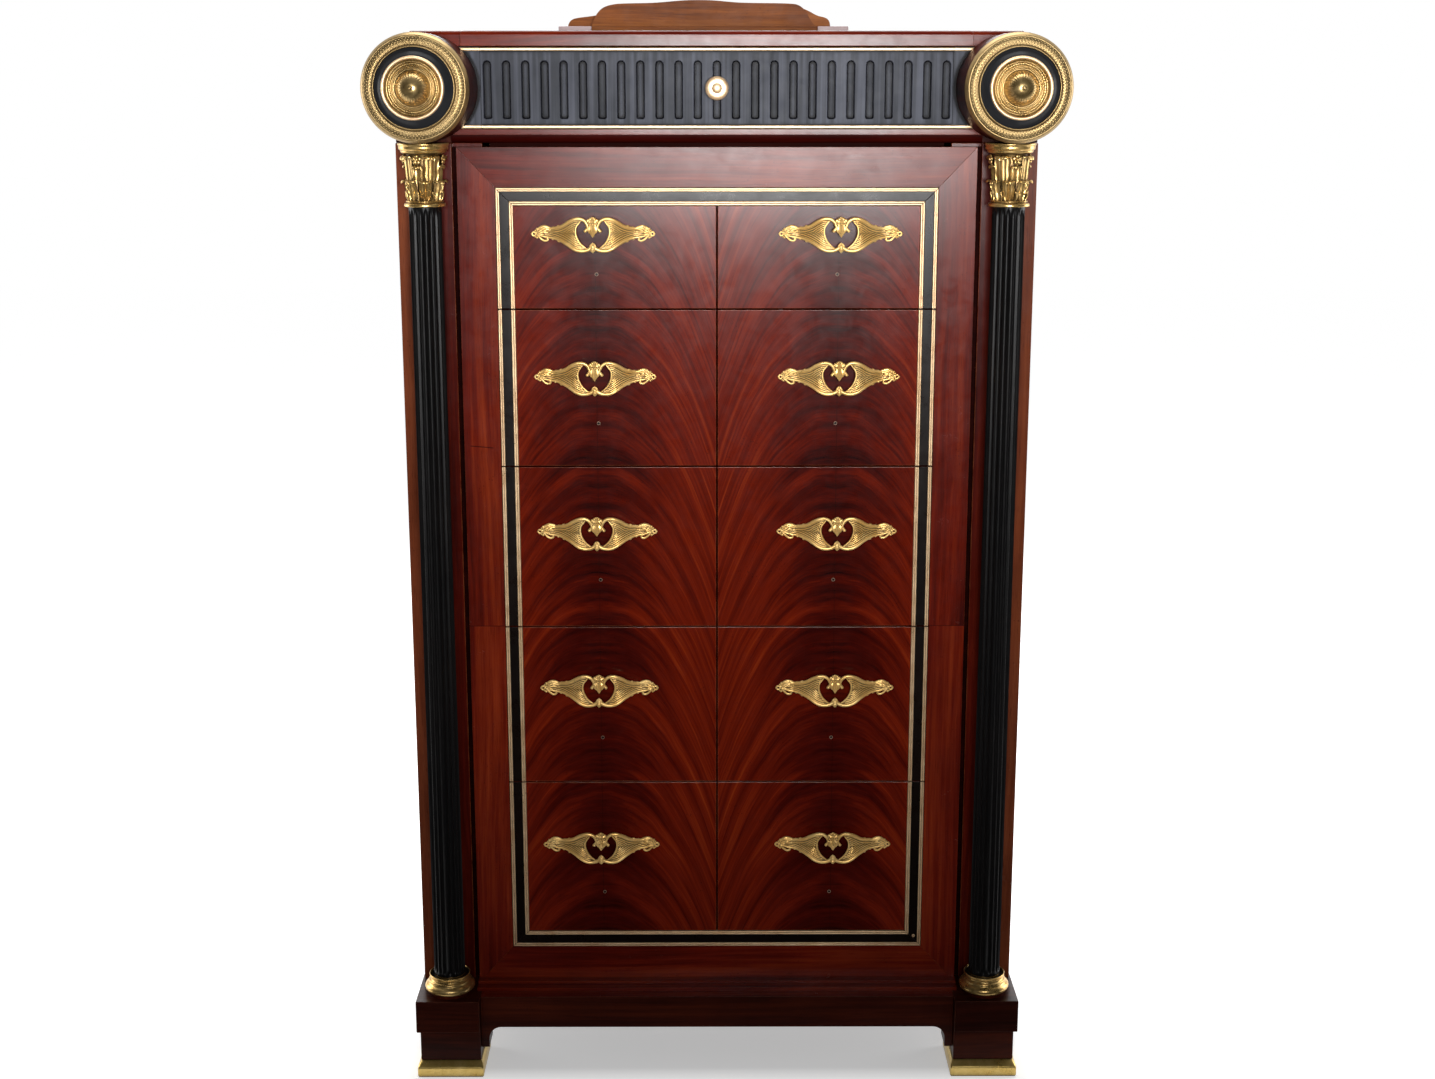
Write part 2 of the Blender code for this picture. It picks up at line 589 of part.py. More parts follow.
# Frieze drawer with its fluted front
ff_half = ret_x - FRIEZE_FRONT_GAP
ff_z0 = CAP_Z1 + FRIEZE_LOW_GAP + SEAT
ff_z1 = TOP_Z0 - FRIEZE_TOP_GAP - SEAT
ff_mid = (0, fy0, (ff_z0 + ff_z1) / 2)
ff = prism("frieze_drawer_front", ebony, [rectangle(-ff_half, ff_half, ff_z0, ff_z1)], fy0,
           fy0 + FRIEZE_FRONT_T, "Y", ff_mid)
bead_half = ff_half - STRING_INSET
beads = prism("frieze_beads", gilt,
              [rectangle(-bead_half, bead_half, ff_z0 + STRING_INSET, ff_z0 + FRIEZE_BEAD_H),
               rectangle(-bead_half, bead_half, ff_z1 - FRIEZE_BEAD_H, ff_z1 - STRING_INSET)],
              fy0 - FRIEZE_BEAD_OUT, fy0 + STRING_SUNK, "Y", ff_mid, cutter=True)
boolean(ff, beads, "UNION")


def flute_loop(x_mid):
    """A flute: round at the top, small rounded corners at the foot."""
    z0 = ff_z0 + FLUTE_LOW
    z1 = z0 + FLUTE_H - FLUTE_W / 2
    r = FLUTE_W / 2
    c = FLUTE_CORNER_R
    k = c * (1 - math.cos(math.pi / 4))
    loop = [(-r, z1), (-r, z0 + c), (-r + k, z0 + k), (-r + c, z0), (r - c, z0), (r - k, z0 + k), (r, z0 + c)]
    for step in range(FLUTE_TOP_STEPS):
        a = math.pi * step / FLUTE_TOP_STEPS
        loop.append((r * math.cos(a), z1 + r * math.sin(a)))
    return [(x_mid + x, z) for x, z in loop]


flute_loops = [flute_loop((i - (FLUTE_COUNT - 1) / 2) * FLUTE_PITCH) for i in range(FLUTE_COUNT)]
flutes = prism("flute_cutter", ebony, flute_loops, fy0 - OVERRUN, fy0 + FLUTE_DEPTH, "Y", ff_mid, cutter=True)
boolean(ff, flutes, "DIFFERENCE")

fb_half = ff_half - FRIEZE_BOX_INSET
fb_y0 = fy0 + FRIEZE_FRONT_T + SEAT
fb_z0 = CAP_Z1 + BOX_FLOOR_GAP
fb_z1 = FRIEZE_Z1 - FRIEZE_BOX_TOP_GAP
fb = box("frieze_drawer_box", inside, -fb_half, fb_half, fb_y0, fb_y0 + FRIEZE_BOX_D, fb_z0, fb_z1)
fb_hollow = box("frieze_hollow", inside, -fb_half + BOX_WALL, fb_half - BOX_WALL, fb_y0 + BOX_WALL,
                fb_y0 + FRIEZE_BOX_D - BOX_WALL, fb_z0 + BOX_BASE, fb_z1 + OVERRUN, cutter=True)
boolean(fb, fb_hollow, "DIFFERENCE")

turned("frieze_knob", pale_gilt, KNOB_SHARES, KNOB_R, KNOB_LEN, KNOB_STEPS,
       (0, fy0 - SEAT, ff_z0 + KNOB_Z), "-Y")

# Rail and cove between the frieze and the frame
rail_y = fy0
cove_back = RACK_Y0 - SEAT
section = [(cove_back, CAP_Z0), (cove_back, CAP_Z1), (rail_y, CAP_Z1), (rail_y, CAP_Z1 - RAIL_H)]
cove_h = CAP_H - RAIL_H
for step in range(COVE_STEPS + 1):
    a = math.pi / 2 * step / COVE_STEPS
    section.append((rail_y + COVE_DEPTH * (1 - math.cos(a)) + SEAT, CAP_Z1 - RAIL_H - cove_h * math.sin(a)))
rail_half = HALF_W - PIER_W - RAIL_END_GAP
prism("cornice_moulding", mahogany, [section], -rail_half, rail_half, "X", (0, rail_y, CAP_Z0))

# Top board: a step forward between the roundels
roundel_rise = TOP_Z0 - ROUNDEL_Z
over_half = COLUMN_X - math.sqrt(max(0, ROUNDEL_R ** 2 - roundel_rise ** 2)) - TOP_OVER_GAP
top_plan = [(over_half, fy0 - TOP_OVER), (over_half, fy0), (fx, fy0), (fx, fy1)]
top_plan = top_plan + [(-x, y) for x, y in reversed(top_plan)]
prism("top_board", mahogany, [top_plan], TOP_Z0, TOP_Z1, "Z", (0, fy0, TOP_Z0))

# Crest: a shaped board in front of a low stepped board, on a thin plate
plate_y1 = fy1 - CREST_BACK_GAP
plate_y0 = plate_y1 - CREST_PLATE_D
plate_z0 = TOP_Z1 + SEAT
plate_z1 = plate_z0 + CREST_PLATE_H
base_half = CREST_PLATE_W / 2
crest_base = box("crest_base", crest_wood, CREST_PLATE_CENTRE - base_half, CREST_PLATE_CENTRE + base_half,
                 plate_y0, plate_y1, plate_z0, plate_z1)
step_half = CREST_STEP_W / 2
step_z1 = plate_z1 + CREST_STEP_H
step_loop = [(step_half, plate_z1 - CREST_PLATE_H / 2)]
for step in range(CREST_STEP_STEPS + 1):
    a = math.pi / 2 * step / CREST_STEP_STEPS
    step_loop.append((step_half - CREST_STEP_R * (1 - math.cos(a)), step_z1 - CREST_STEP_R * (1 - math.sin(a))))
step_loop = step_loop + [(-x, z) for x, z in reversed(step_loop)]
step_loop = [(x + CREST_STEP_CENTRE, z) for x, z in step_loop]
step_board = prism("crest_step", crest_wood, [step_loop], plate_y1 - CREST_STEP_T - CREST_STEP_T / 2,
                   plate_y1 - CREST_STEP_T / 2, "Y", (0, plate_y1, plate_z1), cutter=True)
boolean(crest_base, step_board, "UNION")
crest_y1 = plate_y1 - CREST_STEP_T - CREST_STEP_T / 2 - SEAT
crest_loop = [(CREST_CENTRE + x * CREST_W / 2, plate_z1 + SEAT + z * CREST_H) for x, z in CREST_TOP_SHARES]
prism("crest_board", crest_wood, [crest_loop], crest_y1 - CREST_T, crest_y1, "Y",
      (CREST_CENTRE, crest_y1, plate_z1))


# Columns
def shaft_mesh():
    """A fluted shaft: each flute a shallow hollow between narrow fillets, drawn in towards the top."""
    loop = []
    for i in range(SHAFT_FLUTES):
        for part, depth in ((0, 0), (0.24, 0), (0.44, 0.9), (0.80, 0.9)):
            a = 2 * math.pi * (i + part) / SHAFT_FLUTES
            r = SHAFT_R - depth * SHAFT_FLUTE_DEPTH
            loop.append((r * math.cos(a), r * math.sin(a)))
    mesh = prism_mesh([loop], SHAFT_Z0, SHAFT_Z1, "Z")
    middle = (SHAFT_Z0 + SHAFT_Z1) / 2
    for vertex in mesh.vertices:
        if vertex.co.z > middle:
            vertex.co.x *= SHAFT_TOP_R / SHAFT_R
            vertex.co.y *= SHAFT_TOP_R / SHAFT_R
    return mesh


def capital_mesh():
    """Loft the capital: rings whose radius swells into leaves."""
    form = bmesh.new()
    rings = []
    for height, radius, leaf in CAPITAL_SHARES:
        ring = []
        for i in range(LEAF_STEPS):
            a = 2 * math.pi * i / LEAF_STEPS
            swell = abs(math.cos(LEAF_COUNT * a / 2))
            r = CAPITAL_R * (radius + leaf * swell)
            ring.append(form.verts.new((r * math.cos(a), r * math.sin(a), CAPITAL_Z0 + height * CAPITAL_H)))
        rings.append(ring)
    for lower, upper in zip(rings, rings[1:]):
        for i in range(LEAF_STEPS):
            j = (i + 1) % LEAF_STEPS
            form.faces.new((lower[i], lower[j], upper[j], upper[i]))
    form.faces.new(list(reversed(rings[0])))
    form.faces.new(rings[-1])
    bmesh.ops.recalc_face_normals(form, faces=form.faces)
    mesh = bpy.data.meshes.new("capital")
    form.to_mesh(mesh)
    form.free()
    return mesh


for side_name, sign in (("left", -1), ("right", 1)):
    column_x = sign * COLUMN_X
    turned("column_base_" + side_name, gilt, BASE_SHARES, BASE_R, BASE_H, BASE_STEPS,
           (column_x, COLUMN_Y, BASE_Z0))
    mesh = shaft_mesh()
    mesh.transform(Matrix.Translation((column_x, COLUMN_Y, 0)))
    place("column_shaft_" + side_name, mesh, ebony, (column_x, COLUMN_Y, SHAFT_Z0))
    mesh = capital_mesh()
    mesh.transform(Matrix.Translation((column_x, COLUMN_Y, 0)))
    place("capital_" + side_name, mesh, gilt, (column_x, COLUMN_Y, CAPITAL_Z0))
    round_shading(mesh)

    drum_r = ROUNDEL_R
    shares = [(0, ROUNDEL_LEN - ROUNDEL_RECESS), (ROSETTE_R + SEAT, ROUNDEL_LEN - ROUNDEL_RECESS),
              (ROSETTE_R + SEAT, ROUNDEL_LEN - SEAT), (drum_r - ROUNDEL_EDGE_R / 2, ROUNDEL_LEN),
              (drum_r - ROUNDEL_EDGE_R / 6, ROUNDEL_LEN - ROUNDEL_EDGE_R / 3),
              (drum_r, ROUNDEL_LEN - ROUNDEL_EDGE_R), (drum_r, 0), (0, 0)]
    unit = [(r / drum_r, h / ROUNDEL_LEN) for r, h in shares]
    turned("roundel_" + side_name, mahogany, unit, drum_r, ROUNDEL_LEN, ROUNDEL_STEPS,
           (column_x, fy0 - SEAT, ROUNDEL_Z), "-Y")
    face_y = fy0 - SEAT - ROUNDEL_LEN + ROUNDEL_RECESS - ROSETTE_SEAT
    turned("rosette_" + side_name, gilt, ROSETTE_SHARES, ROSETTE_R, ROSETTE_H, ROSETTE_STEPS,
           (column_x, face_y, ROUNDEL_Z), "-Y")

    # Metal shoe on the front foot: a low block whose top slopes in to the leg
    leg_x0 = BLOCK_X0
    leg_x1 = BLOCK_X1 - LEG_SIDE_INSET
    leg_y0 = FRONT_Y - BLOCK_D + LEG_FRONT_INSET
    leg_y1 = FRONT_Y + LEG_BACK_D
    xs = sorted((sign * (leg_x0 - SABOT_SIDE_PROUD), sign * (leg_x1 + SABOT_SIDE_PROUD)))
    top_xs = sorted((sign * leg_x0, sign * leg_x1))
    mesh = box_mesh(xs[0], xs[1], leg_y0 - SABOT_FRONT_PROUD, leg_y1 + SABOT_SIDE_PROUD, 0, SABOT_FACE_H)
    form = bmesh.new()
    form.from_mesh(mesh)
    form.faces.ensure_lookup_table()
    lid = max(form.faces, key=lambda face: face.calc_center_median().z)
    raised = bmesh.ops.extrude_face_region(form, geom=[lid])["geom"]
    form.faces.remove(lid)
    for vertex in (item for item in raised if isinstance(item, bmesh.types.BMVert)):
        vertex.co.z = SABOT_H
        vertex.co.x = top_xs[0] if vertex.co.x < sign * COLUMN_X else top_xs[1]
        vertex.co.y = leg_y0 if vertex.co.y < (leg_y0 + leg_y1) / 2 else leg_y1
    bmesh.ops.recalc_face_normals(form, faces=form.faces)
    form.to_mesh(mesh)
    form.free()
    place("sabot_" + side_name, mesh, gilt, (column_x, leg_y0, 0))

# Plinth: blocks, front legs, side and back rails and rear legs in one
rail_z0 = PLINTH_CLEAR_H
rail_x1 = BLOCK_X0 - SEAT
plinth = box("plinth", mahogany, -HALF_W, HALF_W, FRONT_Y + CASE_D - PLINTH_SIDE_T, FRONT_Y + CASE_D,
             rail_z0, PLINTH_H)
plinth_parts = [box("plinth_front_rail", mahogany, -BLOCK_X0 - SEAT, BLOCK_X0 + SEAT,
                    FRONT_Y - APRON_FRONT + APRON_T + SEAT, FRONT_Y - APRON_FRONT + APRON_T + PLINTH_RAIL_T,
                    rail_z0, PLINTH_H, cutter=True)]
plinth_parts.append(box("plinth_board", mahogany, -HALF_W + PLINTH_SIDE_T / 2, HALF_W - PLINTH_SIDE_T / 2,
                        FRONT_Y - APRON_FRONT + APRON_T + PLINTH_RAIL_T / 2,
                        FRONT_Y + CASE_D - PLINTH_SIDE_T / 2, PLINTH_H - PLINTH_BOARD_T, PLINTH_H, cutter=True))
for side_name, sign in (("left", -1), ("right", 1)):
    bx = sorted((sign * BLOCK_X0, sign * BLOCK_X1))
    plinth_parts.append(box("block_" + side_name, mahogany, bx[0], bx[1], FRONT_Y - BLOCK_D,
                            FRONT_Y + BLOCK_BACK_D, rail_z0, PLINTH_H, cutter=True))
    lx = sorted((sign * BLOCK_X0, sign * (BLOCK_X1 - LEG_SIDE_INSET)))
    plinth_parts.append(box("leg_" + side_name, mahogany, lx[0], lx[1],
                            FRONT_Y - BLOCK_D + LEG_FRONT_INSET, FRONT_Y + LEG_BACK_D,
                            SABOT_H + SEAT, rail_z0 + BOARD_T, cutter=True))
    sx = sorted((sign * (HALF_W - PLINTH_SIDE_T), sign * HALF_W))
    plinth_parts.append(box("plinth_side_" + side_name, mahogany, sx[0], sx[1], FRONT_Y + LEG_BACK_D,
                            FRONT_Y + CASE_D - PLINTH_SIDE_T / 2, rail_z0, PLINTH_H, cutter=True))
    rx = sorted((sign * (HALF_W - REAR_LEG_W), sign * HALF_W))
    plinth_parts.append(box("rear_leg_" + side_name, mahogany, rx[0], rx[1],
                            FRONT_Y + CASE_D - REAR_LEG_D, FRONT_Y + CASE_D, 0, PLINTH_H, cutter=True))
for other in plinth_parts:
    boolean(plinth, other, "UNION")

# Apron with bracket ends, and the stepped moulding above it
ax = BLOCK_X0 - SEAT
az0 = PLINTH_CLEAR_H
half_apron = [(ax, PLINTH_H), (ax, az0 - APRON_BRACKET_H), (ax - APRON_BRACKET_W, az0 - APRON_BRACKET_H)]
for step in range(APRON_CORNER_STEPS + 1):
    a = math.pi / 2 * step / APRON_CORNER_STEPS
    half_apron.append((ax - APRON_BRACKET_W - APRON_CORNER_R * (1 - math.cos(a)),
                       az0 - APRON_CORNER_R * (1 - math.sin(a))))
apron_loop = half_apron + [(-x, z) for x, z in reversed(half_apron)]
apron_y0 = FRONT_Y - APRON_FRONT
apron = prism("apron", mahogany, [apron_loop], apron_y0, apron_y0 + APRON_T, "Y", (0, apron_y0, az0))
m1_y = PANEL_Y0 - MOULD_1_OUT
m2_y = PANEL_Y0 - MOULD_2_OUT
mz = PLINTH_H + SEAT
steps_section = [(m1_y, mz), (m1_y, mz + MOULD_1_H), (m2_y, mz + MOULD_1_H), (m2_y, mz + MOULD_1_H + MOULD_2_H),
                 (PANEL_Y0 - SEAT, mz + MOULD_1_H + MOULD_2_H), (PANEL_Y0 - SEAT, mz)]
core = box("mould_core", mahogany, -ax, ax, m1_y, PANEL_Y0 - MOULD_CORE_GAP, PLINTH_H - BOARD_T / 2, mz + SEAT,
           cutter=True)
steps_bar = prism("mould_steps", mahogany, [steps_section], -BLOCK_X0 - MOULD_OVER, BLOCK_X0 + MOULD_OVER, "X",
                  (0, m1_y, mz), cutter=True)
boolean(apron, core, "UNION")
boolean(apron, steps_bar, "UNION")
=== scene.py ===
import json
import math

import bmesh
import bpy
from mathutils import Matrix, Vector


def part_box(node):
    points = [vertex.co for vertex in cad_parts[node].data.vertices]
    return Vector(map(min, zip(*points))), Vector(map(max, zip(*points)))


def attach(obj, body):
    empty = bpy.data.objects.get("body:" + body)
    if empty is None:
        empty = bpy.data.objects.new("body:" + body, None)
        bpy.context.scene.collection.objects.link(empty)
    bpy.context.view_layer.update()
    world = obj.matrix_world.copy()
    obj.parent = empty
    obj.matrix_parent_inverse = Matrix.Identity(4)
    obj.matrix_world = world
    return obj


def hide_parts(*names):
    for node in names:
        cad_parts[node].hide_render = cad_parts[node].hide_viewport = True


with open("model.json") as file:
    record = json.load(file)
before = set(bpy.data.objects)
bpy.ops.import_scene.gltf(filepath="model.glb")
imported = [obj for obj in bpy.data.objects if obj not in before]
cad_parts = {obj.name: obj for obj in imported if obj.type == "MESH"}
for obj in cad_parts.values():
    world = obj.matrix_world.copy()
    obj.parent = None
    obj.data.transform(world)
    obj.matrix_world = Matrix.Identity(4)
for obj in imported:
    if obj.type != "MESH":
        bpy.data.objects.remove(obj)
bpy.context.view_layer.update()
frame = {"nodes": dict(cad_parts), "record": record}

# The photograph's own view, with angles in degrees
CAMERA_PLACE = (-0.0099, -3.09665, 1.5384)
CAMERA_DOWN = 12.971
CAMERA_TURN = -0.207
camera_data = bpy.data.cameras.new("camera")
camera_data.lens = 50
camera_data.sensor_width = 36
camera = bpy.data.objects.new("camera", camera_data)
camera.location = CAMERA_PLACE
camera.rotation_euler = (math.radians(90 - CAMERA_DOWN), 0, math.radians(CAMERA_TURN))
bpy.context.scene.collection.objects.link(camera)
bpy.context.scene.camera = camera
bpy.context.scene.view_settings.view_transform = "Standard"

BODIES = frame["record"]["behaviour"]["bodies"]
BODY_OF = {node: body for body, members in BODIES.items() for node in members}
NODES = frame["nodes"]
VERT, EDGE, FACE = bmesh.types.BMVert, bmesh.types.BMEdge, bmesh.types.BMFace


class Net:
    """Short calls for wiring one shader tree."""

    def __init__(self, tree):
        self.tree = tree

    def feed(self, socket, value):
        if isinstance(value, bpy.types.NodeSocket):
            self.tree.links.new(value, socket)
        else:
            socket.default_value = value

    def add(self, kind, settings=None, **inputs):
        made = self.tree.nodes.new("ShaderNode" + kind)
        for key, value in (settings or {}).items():
            setattr(made, key, value)
        for key, value in inputs.items():
            self.feed(made.inputs[key.replace("_", " ")], value)
        return made

    def math(self, operation, *values):
        made = self.add("Math", {"operation": operation})
        for socket, value in zip(made.inputs, values):
            self.feed(socket, value)
        return made.outputs[0]

    def blend(self, factor, a, b):
        made = self.add("Mix", {"data_type": "RGBA", "blend_type": "MIX", "clamp_factor": True})
        for socket, value in zip((made.inputs[0], made.inputs[6], made.inputs[7]), (factor, a, b)):
            self.feed(socket, value)
        return made.outputs[2]

    def noise(self, vector, scale=1.0, detail=4.0, rough=0.55, warp=0.0):
        return self.add("TexNoise", Vector=vector, Scale=scale, Detail=detail, Roughness=rough,
                        Distortion=warp).outputs[0]

    def stretch(self, vector, scale, turn=(0, 0, 0)):
        return self.add("Mapping", Vector=vector, Scale=scale, Rotation=turn).outputs[0]

    def remap(self, value, low, high, to_low=0.0, to_high=1.0):
        made = self.add("MapRange", {"clamp": True})
        for key, setting in (("Value", value), ("From Min", low), ("From Max", high),
                             ("To Min", to_low), ("To Max", to_high)):
            self.feed(made.inputs[key], setting)
        return made.outputs[0]

    def ramp(self, value, stops):
        made = self.add("ValToRGB", Fac=value)
        elements = made.color_ramp.elements
        stops = list(stops)
        while len(elements) < len(stops):
            elements.new(0.5)
        for element, (place, colour) in zip(elements, stops):
            element.position = place
            element.color = (*colour, 1)
        return made.outputs[0]

    def join(self, x, y, z):
        return self.add("CombineXYZ", X=x, Y=y, Z=z).outputs[0]


def shader_group(name, inputs, outputs):
    """An empty node group with its sockets, for effects that several finishes share."""
    tree = bpy.data.node_groups.new(name, "ShaderNodeTree")
    for label, kind, value in inputs:
        socket = tree.interface.new_socket(name=label, in_out="INPUT", socket_type="NodeSocket" + kind)
        socket.default_value = value
    for label, kind in outputs:
        tree.interface.new_socket(name=label, in_out="OUTPUT", socket_type="NodeSocket" + kind)
    start = tree.nodes.new("NodeGroupInput")
    end = tree.nodes.new("NodeGroupOutput")
    return tree, Net(tree), start.outputs, end.inputs


def use(net, tree, **inputs):
    made = net.tree.nodes.new("ShaderNodeGroup")
    made.node_tree = tree
    for key, value in inputs.items():
        net.feed(made.inputs[key.replace("_", " ")], value)
    return made.outputs


def straight_grain():
    """Straight grain along Z: broad bands, streaks and fine pores, each about 0.5 in the middle."""
    tree, net, given, out = shader_group("straight_grain", [("Vector", "Vector", (0, 0, 0))],
                                         [("Bands", "Float"), ("Streaks", "Float"), ("Pores", "Float")])
    wander = net.noise(net.stretch(given["Vector"], (3, 3, 1.2)), detail=2)
    bent = net.add("VectorMath", {"operation": "ADD"})
    net.feed(bent.inputs[0], given["Vector"])
    offset = net.math("MULTIPLY", net.math("SUBTRACT", wander, 0.5), 0.05)
    net.feed(bent.inputs[1], net.join(offset, offset, 0))
    vector = bent.outputs[0]
    net.feed(out["Bands"], net.noise(net.stretch(vector, (22, 22, 0.9)), detail=3))
    net.feed(out["Streaks"], net.noise(net.stretch(vector, (150, 150, 4)), detail=5, rough=0.65))
    pore = net.noise(net.stretch(vector, (900, 900, 36)), detail=2, rough=0.5)
    net.feed(out["Pores"], net.remap(pore, 0.60, 0.68))
    return tree


# The flame: axis of each column, and how its figure climbs away from that axis
FLAME_AXIS = 0.18
FLAME_REACH = 0.0936
FLAME_RISE = 0.0552
FLAME_POWER = 2.3
FLAME_STEEPEST = 1.9
FLAME_SOFT = 0.00006
# Each layer of the figure: scale across it, scale away from the axis, place in the noise, detail, roughness
FLAME_LAYERS = (("Bands", 30, 6, 0.0, 3, 0.60), ("Streaks", 120, 13, 3.7, 5, 0.65),
                ("Hairs", 520, 46, 9.1, 2, 0.55))


def flame_figure():
    """Crotch figure matched about each drawer column's axis and about the chest's middle."""
    tree, net, given, out = shader_group("flame_figure", [("Vector", "Vector", (0, 0, 0))],
                                         [("Bands", "Float"), ("Streaks", "Float"), ("Hairs", "Float"),
                                          ("Away", "Float"), ("Joint", "Float")])
    part = net.add("SeparateXYZ", Vector=given["Vector"]).outputs
    x = net.math("ABSOLUTE", part[0])
    away = net.math("ABSOLUTE", net.math("SUBTRACT", x, FLAME_AXIS))
    soft = net.math("POWER", net.math("ADD", net.math("MULTIPLY", away, away), FLAME_SOFT), 0.5)
    climb = net.math("POWER", net.math("DIVIDE", soft, FLAME_REACH), FLAME_POWER)
    steepest = net.math("MULTIPLY", soft, FLAME_STEEPEST)
    rise = net.math("MINIMUM", net.math("MULTIPLY", climb, FLAME_RISE), steepest)
    shared = net.join(net.math("MULTIPLY", away, 11), 0, net.math("MULTIPLY", part[2], 7))
    warp = net.math("SUBTRACT", net.noise(shared, detail=2), 0.5)
    own = net.math("SUBTRACT", net.noise(net.stretch(given["Vector"], (16, 1, 11)), detail=2), 0.5)
    lift = net.math("ADD", net.math("MULTIPLY", warp, 0.018), net.math("MULTIPLY", own, 0.006))
    height = net.math("ADD", net.math("ADD", part[2], rise), lift)
    for label, over, aside, start, detail, rough in FLAME_LAYERS:
        spot = net.join(net.math("MULTIPLY", height, over), start, net.math("MULTIPLY", away, aside))
        net.feed(out[label], net.noise(spot, detail=detail, rough=rough))
    net.feed(out["Away"], away)
    net.feed(out["Joint"], net.remap(away, 0.0, 0.0009, 1.0, 0.0))
    return tree


def ageing():
    """Uneven polish: Cloud is a slow stain, Rub a fine wiping pattern, Speck scattered small marks."""
    tree, net, given, out = shader_group("ageing", [("Vector", "Vector", (0, 0, 0))],
                                         [("Cloud", "Float"), ("Rub", "Float"), ("Speck", "Float")])
    vector = given["Vector"]
    net.feed(out["Cloud"], net.noise(vector, scale=7, detail=4))
    net.feed(out["Rub"], net.noise(net.stretch(vector, (40, 40, 40)), detail=6, rough=0.7, warp=0.4))
    speck = net.add("TexVoronoi", Vector=vector, Scale=170).outputs[0]
    few = net.remap(net.noise(vector, scale=24, detail=1), 0.56, 0.62)
    net.feed(out["Speck"], net.math("MULTIPLY", net.remap(speck, 0.10, 0.22, 1, 0), few))
    return tree


GRAIN = straight_grain()
FLAME = flame_figure()
AGEING = ageing()
GRAIN_TURN = {"Z": (0, 0, 0), "X": (0, math.pi / 2, 0), "Y": (math.pi / 2, 0, 0)}


def new_finish(name):
    """A material with its wiring, its shader, the object's coordinates and the ageing laid on them."""
    mat = bpy.data.materials.new(name)
    mat.use_nodes = True
    net = Net(mat.node_tree)
    shader = mat.node_tree.nodes["Principled BSDF"]
    place = net.add("TexCoord").outputs["Object"]
    return mat, net, shader, place, use(net, AGEING, Vector=place)


def worn_and_highlit_edge(net, age, low, high, least, most):
    """A mask of the arrises, uneven between a least and a most, where they are painted lighter for wear and
    as a highlight.
    """
    edge = net.add("Attribute", {"attribute_name": "edge"}).outputs["Fac"]
    return net.math("MULTIPLY", edge, net.remap(age["Rub"], low, high, least, most))


def mixed_grain(net, grain, share):
    """The broad bands of the grain with its streaks, in shares that make 1."""
    bands = net.math("MULTIPLY", grain["Bands"], share)
    return net.math("ADD", bands, net.math("MULTIPLY", grain["Streaks"], 1 - share))


def wiped(net, shader, age, smooth, dull):
    """Roughness that follows the wiping pattern."""
    net.feed(shader.inputs["Roughness"], net.remap(age["Rub"], 0.30, 0.70, smooth, dull))


def bump(net, shader, height, strength, distance=0.001):
    made = net.add("Bump", Height=height, Strength=strength, Distance=distance)
    net.feed(shader.inputs["Normal"], made.outputs["Normal"])


# Two lengths of veneer on the stiles, butted at a height, and a short crack in the left one above it
VENEER_JOINT = 0.7203
JOINT_SHIFT = 0.37
CRACK_X = -0.3545
CRACK_Z = 1.0016
CRACK_HALF = (0.0160, 0.0185)
CRACK_SLOPE = 0.086
CRACK_PIVOT_X = -0.3722
SEAM_DARK = (0.010, 0.0008, 0.0005, 1)


def second_length(net, place):
    """Coordinates that start another length of veneer below the joint."""
    below = net.math("LESS_THAN", net.add("SeparateXYZ", Vector=place).outputs[2], VENEER_JOINT)
    laid = net.add("VectorMath", {"operation": "ADD"})
    net.feed(laid.inputs[0], place)
    net.feed(laid.inputs[1], net.join(net.math("MULTIPLY", below, JOINT_SHIFT), 0, 0))
    return laid.outputs[0]


def joint_and_crack(net, place):
    """A mask of the dark line at the joint and of the crack."""
    x, _, z = net.add("SeparateXYZ", Vector=place).outputs
    seam = net.remap(net.math("ABSOLUTE", net.math("SUBTRACT", z, VENEER_JOINT)), 0.0003, 0.0010, 0.60, 0.0)
    slant = net.math("ADD", z, net.math("MULTIPLY", net.math("SUBTRACT", x, CRACK_PIVOT_X), CRACK_SLOPE))
    line = net.remap(net.math("ABSOLUTE", net.math("SUBTRACT", slant, CRACK_Z)), 0.0004, 0.0011, 0.75, 0.0)
    ends = net.remap(net.math("ABSOLUTE", net.math("SUBTRACT", x, CRACK_X)), *CRACK_HALF, 1.0, 0.0)
    return net.math("MAXIMUM", seam, net.math("MULTIPLY", line, ends))


